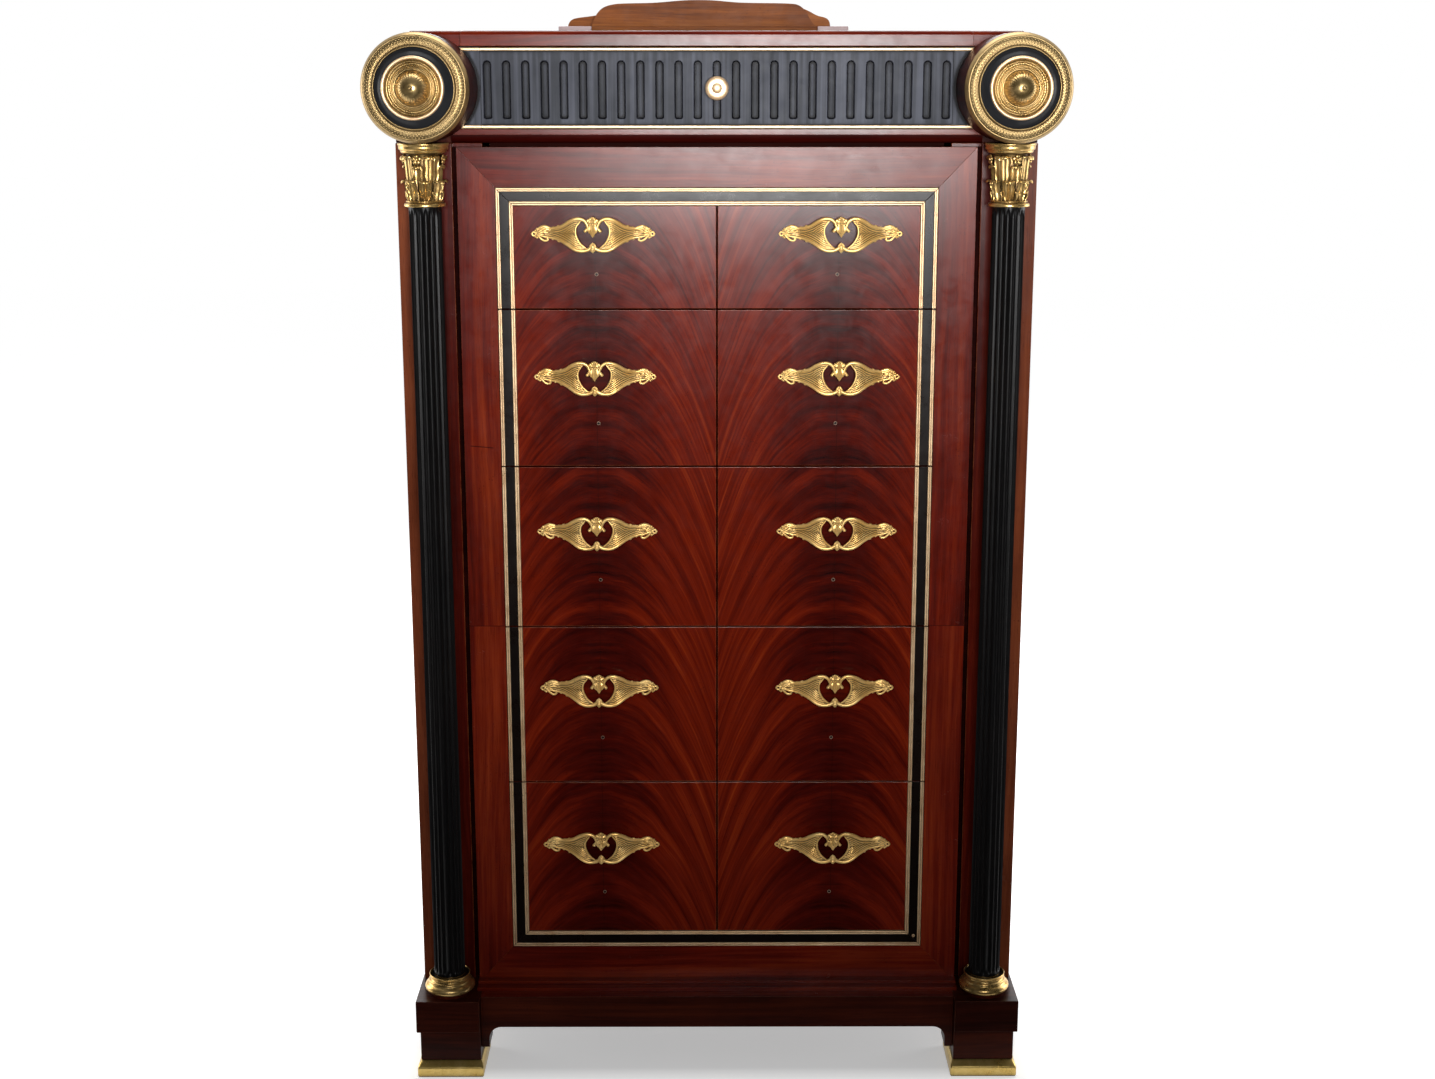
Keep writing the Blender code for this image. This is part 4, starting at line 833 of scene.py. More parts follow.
frame_pieces()
band_pieces("band_top", OPEN_Z1, ROWS_Z1, 1)
band_pieces("band_bottom", OPEN_Z0, ROWS_Z0, -1)
for tag, sign, row in DRAWERS:
    drawer_front(tag, sign, row)
stud_piece()

# Handles: paths in shares of half the handle's length, left half, centre line at 0
WING_TIP = -0.87
RIM_TOP = ((-0.870, 0.050), (-0.800, 0.098), (-0.700, 0.082), (-0.632, 0.089), (-0.550, 0.102),
           (-0.469, 0.137), (-0.400, 0.184), (-0.318, 0.225), (-0.250, 0.242), (-0.182, 0.236),
           (-0.127, 0.205), (-0.093, 0.157), (-0.079, 0.102), (-0.110, 0.056))
RIM_LOW = ((-0.860, -0.035), (-0.728, -0.061), (-0.632, -0.075), (-0.550, -0.102), (-0.469, -0.137),
           (-0.400, -0.178), (-0.318, -0.232), (-0.236, -0.264), (-0.154, -0.269), (-0.086, -0.253),
           (-0.020, -0.215))
RIM_EYE = ((-0.190, 0.215), (-0.223, 0.171), (-0.264, 0.116), (-0.277, 0.055), (-0.270, -0.020),
           (-0.243, -0.089), (-0.209, -0.143), (-0.154, -0.198), (-0.100, -0.240))
# Each rim with its rise, its first, middle and last radius, and its sides
RIMS = ((RIM_TOP, 0.0022, (0.0013, 0.0025, 0.0024), 3), (RIM_LOW, 0.0022, (0.0013, 0.0025, 0.0028), 3),
        (RIM_EYE, 0.0018, (0.0010, 0.0016, 0.0012), 2))
RIB_COUNT = 7
RIB_PITCH = 0.031
RIB_RISE = 0.0014
RIB_RADII = (0.0007, 0.00125, 0.0009)
# Swellings on the rims and beads round the tip: across, up and radius
SCROLL_END = (-0.118, 0.047)
RIM_SWELLINGS = ((-0.554, 0.114, 0.0020), (-0.515, 0.122, 0.0014), (-0.545, -0.118, 0.0020),
                 (-0.505, -0.128, 0.0014), (-0.640, 0.096, 0.0015), (-0.650, -0.088, 0.0015))
TIP_BEADS = ((-0.902, 0.070, 0.0022), (-0.905, -0.064, 0.0020), (-0.992, -0.006, 0.0014),
             (-0.930, 0.046, 0.0016), (-0.930, -0.052, 0.0016))
# Buds at the tip: across, up and rise, then the three radii
TIP_BUDS = (((-0.790, 0.038, 0.0014), (0.0050, 0.0018, 0.0028)),
            ((-0.868, 0.004, 0.0014), (0.0042, 0.0020, 0.0044)),
            ((-0.915, 0.004, 0.0016), (0.0026, 0.0022, 0.0032)))
# Leaves at the tip and round the palmette: radius and path
TIP_LEAVES = (
    (0.0021, ((-0.905, 0.030), (-0.870, 0.082), (-0.810, 0.112), (-0.745, 0.104), (-0.680, 0.084))),
    (0.0018, ((-0.900, 0.010), (-0.860, 0.050), (-0.810, 0.074), (-0.750, 0.066), (-0.690, 0.050))),
    (0.0018, ((-0.910, -0.020), (-0.865, -0.060), (-0.815, -0.104), (-0.770, -0.118), (-0.735, -0.096),
              (-0.745, -0.070), (-0.790, -0.066))),
    (0.0018, ((-0.900, -0.005), (-0.850, -0.030), (-0.800, -0.046), (-0.720, -0.056))),
    (0.0020, ((-0.905, 0.006), (-0.850, 0.010), (-0.790, 0.022), (-0.730, 0.012))))
TIP_VEINS = (((-0.900, 0.022), (-0.866, 0.030), (-0.834, 0.052), (-0.800, 0.058)),
             ((-0.895, 0.000), (-0.860, 0.004), (-0.826, 0.022), (-0.780, 0.036)),
             ((-0.900, -0.014), (-0.862, -0.024), (-0.830, -0.014), (-0.792, -0.020)),
             ((-0.850, 0.076), (-0.836, 0.094), (-0.818, 0.100), (-0.806, 0.090)))
VEIN_RADII = (0.0011, 0.0015, 0.0014, 0.0007)
TIP_RING = (-0.957, -0.006)
TIP_RING_RADII = (0.027, 0.030)
TIP_RING_THICK = 0.0015
PALMETTE_LEAVES = (
    (0.0022, ((-0.012, 0.165), (-0.046, 0.196), (-0.066, 0.220), (-0.078, 0.198), (-0.060, 0.172))),
    (0.0021, ((-0.006, 0.170), (-0.026, 0.210), (-0.036, 0.240), (-0.054, 0.236))),
    (0.0021, ((-0.024, 0.020), (-0.052, 0.040), (-0.074, 0.076), (-0.070, 0.110), (-0.052, 0.134))),
    (0.0014, ((0.000, -0.030), (-0.022, 0.002), (-0.044, 0.024), (-0.062, 0.020))),
    (0.0017, ((-0.008, -0.150), (-0.030, -0.180), (-0.042, -0.215), (-0.048, -0.262))),
    (0.0015, ((-0.004, -0.290), (-0.024, -0.262), (-0.050, -0.236), (-0.084, -0.232))))
# Turned middles of the palmette and of the drop: radius, and height as a share
PALMETTE_PROFILE = ((0.0000, 0.276), (0.0020, 0.268), (0.0026, 0.254), (0.0018, 0.240), (0.0046, 0.226),
                    (0.0062, 0.206), (0.0064, 0.186), (0.0050, 0.168), (0.0058, 0.154), (0.0052, 0.142),
                    (0.0058, 0.124), (0.0068, 0.098), (0.0068, 0.068), (0.0056, 0.038), (0.0038, 0.010),
                    (0.0024, -0.016), (0.0012, -0.040), (0.0000, -0.058))
DROP_PROFILE = ((0.0000, -0.130), (0.0010, -0.142), (0.0016, -0.158), (0.0036, -0.180), (0.0042, -0.204),
                (0.0036, -0.226), (0.0046, -0.240), (0.0044, -0.254), (0.0022, -0.264), (0.0020, -0.278),
                (0.0014, -0.292), (0.0000, -0.306))
PALMETTE_RISE = 0.0026
PALMETTE_LOBES = 10
COLLAR_BEADS = 5
HANDLE_BACK_Y = -0.0002
HANDLE_TOP_SHARE = 0.285


def arch(share):
    """How far a handle stands forward, from its bowed middle to its flat tips."""
    t = min(1, max(0, (0.72 - abs(share)) / 0.46))
    return HANDLE_BOW * t * t * (3 - 2 * t)


def level(line, x):
    """The height of a path at a distance from the middle."""
    for (xa, za), (xb, zb) in zip(line, line[1:]):
        if xa <= x <= xb:
            return za + (zb - za) * (x - xa) / (xb - xa)
    return line[0][1] if x < line[0][0] else line[-1][1]


def wing_share(x, z):
    """How far a place on the wing is from its lower rim to its upper one."""
    return (z - level(RIM_LOW, x)) / (level(RIM_TOP, x) - level(RIM_LOW, x))


def eye_at(share):
    """Where the wing ends at the pierced eye, for a share of the way from its lower to its upper rim."""
    return level([(wing_share(x, z), x) for x, z in reversed(RIM_EYE)], share)


def rib_path(rim, turn, number):
    """A rib that follows a rim at an even distance, from the tip or the wing's middle line to the eye."""
    path = []
    for k in range(60):
        x = -0.84 + 0.66 * k / 59
        slope = (level(rim, x + 0.02) - level(rim, x - 0.02)) / 0.04
        z = level(rim, x) - turn * number * RIB_PITCH * math.sqrt(1 + slope * slope)
        share = wing_share(x, z)
        if turn * (z - 0.008) > 0.004 and 0.02 < share < 0.98 and x < eye_at(share) - 0.010:
            path.append((x, z))
    step = max(1, len(path) // 7)
    return path[:-1:step] + path[-1:] if len(path) > 3 else []


def on_handle(x, z, rise=0.0):
    """A place on the face of the arched handle, from shares of half its length."""
    return (x * HANDLE_HALF, -arch(x) - rise, z * HANDLE_HALF)


def way_on(points, mirror, rise):
    """A path on the left wing, or on the right one where mirror is -1."""
    return [on_handle(mirror * x, z, rise) for x, z in points]


def swell(count, first, middle, last):
    """Radii of a member that thickens over its first part and thins out at its end."""
    shares = [i / (count - 1) for i in range(count)]
    return [first + (middle - first) * 2.4 * share if 2.4 * share < 1
            else middle + (last - middle) * max(0, share - 0.6) / 0.4 for share in shares]


def leaf_radii(thick, count, foot):
    """Radii of a small leaf: nearly even, thinner at its foot and its tip."""
    return [thick * foot] + [thick] * (count - 2) + [thick * 0.6]


def wing_form(form, mirror):
    """A wing: a thin hollowed sheet between three rims, with close ribs and swellings on it."""
    def wing(u, v, side):
        x = WING_TIP + (eye_at(v) - WING_TIP) * u
        low, top = level(RIM_LOW, x), level(RIM_TOP, x)
        rise = 0.0008 - 0.0006 * (1 - (2 * v - 1) ** 2)
        return on_handle(mirror * x, low + (top - low) * v, rise - side * 0.0014)

    sheet(form, 22, 10, wing)
    for rim, rise, radii, sides in RIMS:
        rod(form, way_on(rim, mirror, rise), swell(len(rim), *radii), sides, 5)
    for rim, turn in ((RIM_TOP, 1), (RIM_LOW, -1)):
        for number in range(1, RIB_COUNT + 1):
            path = rib_path(rim, turn, number)
            if path:
                rod(form, way_on(path, mirror, RIB_RISE), swell(len(path), *RIB_RADII), 2, 3)
    x, z = SCROLL_END
    bead(form, on_handle(mirror * x, z, 0.0026), (0.0026, 0.0022, 0.0023))
    for x, z, r in RIM_SWELLINGS:
        bead(form, on_handle(mirror * x, z, 0.0022), (r * 1.5, 0.0018, r))


def tip_form(form, mirror):
    """The tip of a wing: leaves with veins, buds, a ring and beads."""
    for thick, leaf in TIP_LEAVES:
        rod(form, way_on(leaf, mirror, 0.0016), leaf_radii(thick, len(leaf), 0.8), 2, 5)
    for (x, z, rise), radii in TIP_BUDS:
        bead(form, on_handle(mirror * x, z, rise), radii)
    for vein in TIP_VEINS:
        rod(form, way_on(vein, mirror, 0.0032), VEIN_RADII, 2, 4)
    (x, z), (wide, high) = TIP_RING, TIP_RING_RADII
    ring = [(x + wide * math.cos(a), z + high * math.sin(a)) for a in (math.tau * k / 8 for k in range(8))]
    rod(form, way_on(ring, mirror, 0.0018), [TIP_RING_THICK] * 8, 2, 4, True)
    for x, z, r in TIP_BEADS:
        bead(form, on_handle(mirror * x, z, 0.0018), (r, r * 0.9, r))


def palmette_form(form):
    """The lobed palmette in the middle with a string of beads, and the drop below it."""
    stem = [(r, share * HANDLE_HALF) for r, share in PALMETTE_PROFILE]
    palmette = turned(softened(stem, 1), 40)
    for vert in palmette.verts:
        lobe = 1 + 0.13 * math.cos(PALMETTE_LOBES * math.atan2(vert.co.y, vert.co.x))
        vert.co = (vert.co.x * lobe, vert.co.y * lobe * 0.75 - HANDLE_BOW - PALMETTE_RISE, vert.co.z)
    add_form(form, palmette)
    for k in range(COLLAR_BEADS):
        aside = k - COLLAR_BEADS // 2
        bead(form, (0.0028 * aside, -HANDLE_BOW - 0.0068 + 0.0005 * abs(aside) ** 2, 0.160 * HANDLE_HALF),
             (0.0014, 0.0012, 0.0014), sides=8, rings=6)
    drop = [(r, share * HANDLE_HALF) for r, share in DROP_PROFILE]
    add_form(form, turned(softened(drop, 1), 18, (0, -HANDLE_BOW - PALMETTE_RISE, 0)))


def handle_form():
    """A cast drop handle: two ribbed wings with leafy tips, and a palmette between them."""
    form = bmesh.new()
    for mirror in (1, -1):
        wing_form(form, mirror)
        tip_form(form, mirror)
        for thick, leaf in PALMETTE_LEAVES:
            rod(form, way_on(leaf, mirror, 0.0030), leaf_radii(thick, len(leaf), 0.7), 2, 5)
    palmette_form(form)
    for vert in form.verts:
        vert.co.y = min(vert.co.y, HANDLE_BACK_Y)
    return closed(form)


def handle_pieces():
    """The same casting on each of the ten drawers."""
    casting = bpy.data.meshes.new("handle_casting")
    pattern = handle_form()
    pattern.to_mesh(casting)
    pattern.free()
    for tag, _, _ in DRAWERS:
        low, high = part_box(tag + "_handle")
        copy = bmesh.new()
        copy.from_mesh(casting)
        middle = ((low.x + high.x) / 2, FACE_Y - JOINT, high.z - HANDLE_TOP_SHARE * HANDLE_HALF)
        piece(tag + "_casting", set_at(copy, middle), lit_handle_gilt, "gilt_bronze", tag, (tag + "_handle",), 55)
    bpy.data.meshes.remove(casting)


handle_pieces()

# Rosettes: radius as a share of the rosette's own, and height above the drum
ROSETTE_RIM = ((0.756, 0.0000), (0.756, 0.0136), (0.763, 0.0160), (0.776, 0.0168), (0.790, 0.0160),
               (0.798, 0.0136), (0.812, 0.0120), (0.860, 0.0128), (0.920, 0.0122), (0.958, 0.0104),
               (0.968, 0.0094), (0.978, 0.0098), (0.998, 0.0086), (1.024, 0.0056), (1.044, 0.0026),
               (1.049, 0.0008), (1.000, 0.0008), (1.000, 0.0000), (0.756, 0.0000))
ROSETTE_DISH = ((0.014, 0.0507), (0.024, 0.0499), (0.030, 0.0484), (0.040, 0.0479), (0.075, 0.0475),
                (0.115, 0.0465), (0.180, 0.0438), (0.245, 0.0390), (0.295, 0.0328), (0.325, 0.0268),
                (0.338, 0.0240), (0.352, 0.0232), (0.370, 0.0236), (0.384, 0.0247), (0.397, 0.0240),
                (0.408, 0.0230), (0.424, 0.0234), (0.434, 0.0250), (0.470, 0.0252), (0.480, 0.0238),
                (0.492, 0.0232), (0.512, 0.0238), (0.532, 0.0256), (0.545, 0.0272), (0.560, 0.0280),
                (0.582, 0.0280), (0.596, 0.0268), (0.602, 0.0246), (0.604, 0.0200), (0.604, 0.0000))
DISH_TIP = (0.0, 0.0508)
DISH_BACK = (0.0, 0.0)
ROSETTE_HOLLOW = ((0.598, 0.0000), (0.598, 0.0238), (0.606, 0.0246), (0.625, 0.0234), (0.660, 0.0204),
                  (0.700, 0.0170), (0.735, 0.0144), (0.752, 0.0138), (0.762, 0.0126), (0.762, 0.0000),
                  (0.598, 0.0000))
ROSETTE_LIP = ((0.540, 0.0270), (0.548, 0.0282), (0.566, 0.0290), (0.588, 0.0288), (0.600, 0.0272),
               (0.604, 0.0248), (0.540, 0.0248), (0.540, 0.0270))
# Rings of scales on the rim: radius as a share, height, and which way they lean
SCALE_ROWS = ((0.836, 0.0123, 1), (0.870, 0.0127, -1), (0.904, 0.0124, 1), (0.938, 0.0112, -1))
SCALE_COUNT = 90
SCALE_LEAN = 0.5
SCALE_RADII = (0.0013, 0.0018, 0.0005)
SEED_COUNT = 60
SEED_RING = (0.452, 0.0250)
SEED_RADII = (0.0016, 0.0010, 0.0011)
REED_COUNT = 30
REED_RISE = 0.0007
REED_SHARES = (0.12, 0.34)


def rosette_turned(profile, steps):
    return turned([(share * ROSETTE_R, height) for share, height in profile], steps)


def rosette_rim():
    """The gilt outer ring with four rows of leaning scales."""
    rim = rosette_turned(softened(ROSETTE_RIM, 1), 144)
    for share, height, way in SCALE_ROWS:
        start = 0 if way > 0 else math.pi / SCALE_COUNT
        lean = way * SCALE_LEAN
        add_form(rim, scale_ring(SCALE_COUNT, share * ROSETTE_R, height, SCALE_RADII, lean, 8, 4, start))
    for vert in rim.verts:
        vert.co.z = max(vert.co.z, 0)
    return rim


def rosette_boss():
    """The domed and reeded boss with a ring of seeds round it."""
    boss = rosette_turned([DISH_TIP] + softened(ROSETTE_DISH, 1) + [DISH_BACK], 120)
    start, end = REED_SHARES
    for vert in boss.verts:
        share = math.hypot(vert.co.x, vert.co.y) / ROSETTE_R
        if start < share < end and vert.co.z > 0.01:
            window = min((share - start) / 0.18, (end - share) / 0.03, 1)
            vert.co.z += REED_RISE * window * math.cos(REED_COUNT * math.atan2(vert.co.y, vert.co.x))
    share, height = SEED_RING
    add_form(boss, scale_ring(SEED_COUNT, share * ROSETTE_R, height, SEED_RADII, 0))
    return boss


def rosette_pieces(side, place):
    """Four turned parts of a rosette, facing forward."""
    name = "rosette_" + side
    lip = rosette_turned(softened(ROSETTE_LIP, 1), 128)
    hollow = rosette_turned(softened(ROSETTE_HOLLOW, 2), 128)
    for end, form, mat, slot in (("_lip", lip, string_gilt, "gilt_bronze"),
                                 ("_rim", rosette_rim(), shaded_rim_gilt, "gilt_bronze"),
                                 ("_boss", rosette_boss(), shaded_rosette_gilt, "gilt_bronze"),
                                 ("_ring", hollow, ring_black, "ebonised_wood")):
        piece(name + end, set_at(form, place, True), mat, slot, "case", (name,), 60)


# Column shafts: radii, flutes, and how a flute runs out in a round end
SHAFT_R = 0.0245
SHAFT_TOP_R = 0.0238
SHAFT_FLUTES = 20
FLUTE_PARTS = 8
SHAFT_FLUTE_DEPTH = 0.0024
FLUTE_START = 0.004
FLUTE_RUN = 0.009
RUN_SHARES = (0.1, 0.25, 0.45, 0.7, 1.0)
SHAFT_PARTS = 6


def fluted_shaft(place, z0, z1):
    """A tapering shaft, drawn up ring by ring from a circle, whose rings are then pressed into flutes."""
    form = bmesh.new()
    length = z1 - z0
    run_out = [0.0, FLUTE_START] + [FLUTE_START + FLUTE_RUN * share for share in RUN_SHARES]
    stations = (run_out + [length * k / SHAFT_PARTS for k in range(1, SHAFT_PARTS)] +
                [length - s for s in reversed(run_out)])
    parts = SHAFT_FLUTES * FLUTE_PARTS
    rings = [bmesh.ops.create_circle(form, cap_ends=True, segments=parts, radius=1)["verts"]]
    cap = list(form.faces)
    for _ in stations[1:]:
        drawn = bmesh.ops.extrude_face_region(form, geom=cap)["geom"]
        if len(rings) > 1:
            bmesh.ops.delete(form, geom=cap, context="FACES_ONLY")
        cap = only(FACE, drawn)
        rings.append(only(VERT, drawn))
    for along, ring in zip(stations, rings):
        reach = min(1, max(0, min(along, length - along) - FLUTE_START) / FLUTE_RUN)
        open_share = math.sqrt(max(0, 1 - (1 - reach) ** 2))
        for vert in ring:
            angle = math.atan2(vert.co.y, vert.co.x)
            q = abs((angle / math.tau * SHAFT_FLUTES) % 1 - 0.5) / 0.40
            depth = SHAFT_FLUTE_DEPTH * math.sqrt(max(0, open_share ** 2 - q * q)) if q < 1 else 0
            r = SHAFT_R + (SHAFT_TOP_R - SHAFT_R) * along / length - depth
            vert.co = (r * math.cos(angle), r * math.sin(angle), z0 + along)
    return set_at(closed(form), (*place, 0))


# Leaves of the capitals: how far up a leaf arches over and how far round, its thickness, ribs and notches
LEAF_CLIMB_SHARE = 0.58
LEAF_SWEEP = math.radians(205)
LEAF_THICK = 0.0011
LEAF_MIDRIB = 0.0011
LEAF_RIBS = 0.0005
LEAF_CURL = 0.0011
LEAF_NOTCHES = 5.5
NOTCH_SHARE = 0.13


def acanthus(form, angle, foot, height, width, bell, roll, lean):
    """One leaf laid on the bell: ribbed and notched, with raised edges, its top arched over and hanging."""
    climb = LEAF_CLIMB_SHARE

    def at(u, v, side):
        across = 2 * u - 1
        rise = min(v / climb, 1)
        over = max(0, (v - climb) / (1 - climb))
        turn = LEAF_SWEEP * over
        notch = 1 - NOTCH_SHARE * abs(math.sin(v * math.pi * LEAF_NOTCHES)) * (1 - over)
        taper = math.sqrt(max(0.02, 1 - max(0, (over - 0.40) / 0.60) ** 2))
        spread = width * (0.66 + 0.34 * math.sin(rise * math.pi / 2)) * notch * taper
        rib = LEAF_MIDRIB * max(0, 1 - abs(across) / 0.18) + LEAF_RIBS * math.cos(across * math.pi * 4)
        depth = (rib + LEAF_CURL * abs(across) ** 5) * (1 - 0.6 * over) - side * LEAF_THICK
        z = foot + height * rise + (roll - depth) * math.sin(turn)
        r = bell(foot + height * rise) + lean * rise ** 1.6 + roll - (roll - depth) * math.cos(turn)
        a = angle + across * spread / max(r, 0.01)
        return (r * math.cos(a), r * math.sin(a), z)

    sheet(form, 16, 36, at)


# Capitals: radius, and height as a share of the capital's own
CAPITAL_PROFILE = ((0.0292, 0.000), (0.0300, 0.004), (0.0300, 0.030), (0.0290, 0.052), (0.0262, 0.060),
                   (0.0262, 0.066), (0.0275, 0.074), (0.0275, 0.088), (0.0245, 0.100), (0.0226, 0.110),
                   (0.0226, 0.400), (0.0232, 0.700), (0.0240, 0.822), (0.0262, 0.832), (0.0318, 0.846),
                   (0.0330, 0.862), (0.0330, 0.880), (0.0338, 0.890), (0.0352, 0.900), (0.0358, 0.912),
                   (0.0358, 0.952), (0.0363, 0.962), (0.0370, 0.972), (0.0370, 0.992), (0.0362, 1.000))
PETALS = 5
PETAL_RING = 0.0044


def capital_form(place, z0, z1, twist):
    """A leafy capital: base ring, bell, leaves in two tiers with flowers between, and a moulded abacus."""
    height = z1 - z0
    quarter = math.tau / 4
    front = -quarter

    def up(share):
        return z0 + share * height

    def bell(z):
        t = min(1, max(0, (z - z0) / height))
        return 0.0232 + 0.0010 * t + 0.0022 * t ** 4

    form = turned([(0, z0)] + [(r, up(share)) for r, share in softened(CAPITAL_PROFILE, 1)] + [(0, z1)], 72)
    tall = bmesh.new()
    acanthus(tall, front + quarter / 2, up(0.085), 0.668 * height, 0.0134, bell, 0.0034, 0.0024)
    acanthus(tall, front, up(0.085), 0.530 * height, 0.0092, bell, 0.0024, 0.0014)
    lift = up(0.745)
    reach = bell(lift) + 0.0056
    bead(tall, (0, -reach - 0.0006, lift), (0.0026, 0.0026, 0.0026), sides=10, rings=7)
    for k in range(PETALS):
        turn = math.tau * k / PETALS
        bead(tall, (PETAL_RING * math.sin(turn), 0.0006 - reach, lift + PETAL_RING * math.cos(turn)),
             (0.0030, 0.0021, 0.0030), sides=10, rings=7)
    rod(tall, [(0, -bell(lift) - 0.0012, up(0.60)), (0.0006, -reach + 0.0020, up(0.68)),
               (0, -reach + 0.0010, lift)], [0.0012, 0.0011, 0.0010])
    add_form(form, ring_of(tall, 4))
    small = bmesh.new()
    acanthus(small, front + quarter / 4, up(0.080), 0.300 * height, 0.0098, bell, 0.0024, 0.0042)
    bead(small, (0, -0.0278, up(0.225)), (0.0019, 0.0017, 0.0021), sides=10, rings=7)
    rod(small, [(0, -0.0252, up(0.095)), (0.0012, -0.0272, up(0.150)), (0.0004, -0.0284, up(0.215))],
        [0.0012, 0.0014, 0.0012])
    add_form(form, ring_of(small, 8))
    bmesh.ops.rotate(form, verts=form.verts, cent=(0, 0, 0), matrix=Matrix.Rotation(twist, 3, "Z"))
    return closed(set_at(form, (*place, 0)))


# Column bases: radius and height as shares of the base's own
BASE_R = 0.0393
BASE_PROFILE = ((0.600, 1.000), (0.612, 0.990), (0.618, 0.800), (0.690, 0.760), (0.742, 0.800),
                (0.766, 0.960), (0.784, 1.000), (0.812, 0.996), (0.820, 0.960), (0.800, 0.900),
                (0.768, 0.850), (0.760, 0.790), (0.790, 0.735), (0.838, 0.705), (0.852, 0.660),
                (0.850, 0.610), (0.884, 0.556), (0.952, 0.496), (1.000, 0.400), (1.000, 0.285),
                (0.962, 0.205), (0.900, 0.172), (0.600, 0.165))
FOOT_SHARES = (0.172, 0.150)
FOOT_RADII = (0.0340, 0.0346)
COLLAR_RADII = (0.0238, 0.0292)
COLLAR_DROPS = (0.0080, 0.0042)
CAPITAL_TWIST = math.radians(12)


def base_pieces(side, centre):
    """A turned gilt base on a dark foot, with a black collar under the shaft that also fills the base's
    hollow as painted shade.
    """
    node = ("column_base_" + side,)
    low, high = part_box("column_base_" + side)
    tall = high.z - low.z
    spot = (*centre, 0)
    profile = softened([(r * BASE_R, low.z + share * tall) for r, share in BASE_PROFILE], 2)
    base = turned([(0, high.z)] + profile + [(0, profile[-1][1])], 96, spot)
    piece("base_%s_turned" % side, base, gilt, "gilt_bronze", "case", node, 60)
    z1, z0 = [low.z + share * tall for share in FOOT_SHARES]
    r1, r0 = FOOT_RADII
    foot = turned([(0, z1), (r1, z1), (r0, z0), (r0, low.z), (0, low.z)], 72, spot)
    piece("base_%s_foot" % side, foot, drum_wood, "mahogany", "case", node)
    # The black collar is partly the shaft's own black foot, partly painted shade filling the base's hollow
    z0, z1 = [high.z - drop for drop in COLLAR_DROPS]
    r0, r1 = COLLAR_RADII
    collar = turned([(r0, z0), (r0, z1), (r1, z1), (r1, z0), (r0, z0)], 72, spot)
    piece("base_%s_collar" % side, collar, shaft_black, "ebonised_wood", "case", node)


def column_pieces(sign, side):
    """Shaft, capital and base of one column, and the rosette above it."""
    low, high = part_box("column_shaft_" + side)
    centre = ((low.x + high.x) / 2, (low.y + high.y) / 2)
    piece("shaft_%s_fluted" % side, fluted_shaft(centre, low.z, high.z), shaft_black, "ebonised_wood", "case",
          ("column_shaft_" + side,), 50)
    low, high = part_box("capital_" + side)
    capital = capital_form(centre, low.z, high.z, sign * CAPITAL_TWIST)
    piece("capital_%s_leaves" % side, capital, gilt, "gilt_bronze", "case", ("capital_" + side,), 50)
    base_pieces(side, centre)
    low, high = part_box("rosette_" + side)
    rosette_pieces(side, (centre[0], high.y, (low.z + high.z) / 2))


for sign, side in SIDES:
    column_pieces(sign, side)

# Frieze: the part's flutes stand 27.3 mm apart, and here they are spread to the photograph's 27.8 mm
SEEN_FLUTE_PITCH = 0.0278
FLUTED_HALF_W = 12.5 * FLUTE_PITCH
FLUTE_FLOOR_SHARE = 0.66
FLOOR_SLACK = 0.0003
FLUTE_SLACK = 0.001
BEAD_PROUD = 0.0012
BEAD_DEPTH = 0.012
END_BEAD_DEPTH = 0.003
END_BEAD_REACH = 0.042
END_FACING = 0.005
END_GAP = 0.0004
KNOB_PROFILE = ((0.340, 0.985), (0.420, 0.930), (0.620, 0.945), (0.880, 0.900), (1.000, 0.790),
                (0.960, 0.660), (0.640, 0.560), (0.420, 0.440), (0.380, 0.180), (0.560, 0.080),
                (0.560, 0.000))
FRIEZE_LOW, FRIEZE_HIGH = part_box("frieze_drawer_front")
STRING_LEVELS = ((FRIEZE_LOW.z, FRIEZE_LOW.z + FRIEZE_STRING_W - JOINT),
                 (FRIEZE_HIGH.z - FRIEZE_STRING_W + JOINT, FRIEZE_HIGH.z))


def frieze_board():
    """The fluted board between its stringings: flute floors narrowed to a slope, flutes spread."""
    board = solid_of("frieze_drawer_front")
    flute_low = FRIEZE_LOW.z + FLUTE_LIFT
    flute_high = flute_low + FLUTE_LENGTH
    for vert in board.verts:
        on_floor = abs(vert.co.y - FRIEZE_Y - FLUTE_DEPTH) < FLOOR_SLACK
        if on_floor and flute_low - FLUTE_SLACK < vert.co.z < flute_high + FLUTE_SLACK:
            middle_x = round(vert.co.x / FLUTE_PITCH) * FLUTE_PITCH
            middle_z = min(max(vert.co.z, flute_low + FLUTE_END_R), flute_high - FLUTE_END_R)
            vert.co.x = middle_x + (vert.co.x - middle_x) * FLUTE_FLOOR_SHARE
            vert.co.z = middle_z + (vert.co.z - middle_z) * FLUTE_FLOOR_SHARE
        if abs(vert.co.x) < FLUTED_HALF_W:
            vert.co.x *= SEEN_FLUTE_PITCH / FLUTE_PITCH
    for z, up in ((FRIEZE_LOW.z + FRIEZE_STRING_W, -1), (FRIEZE_HIGH.z - FRIEZE_STRING_W, 1)):
        cut_beyond(board, (0, 0, z), (0, 0, up), bmesh.ops.edgeloop_fill)
    return board


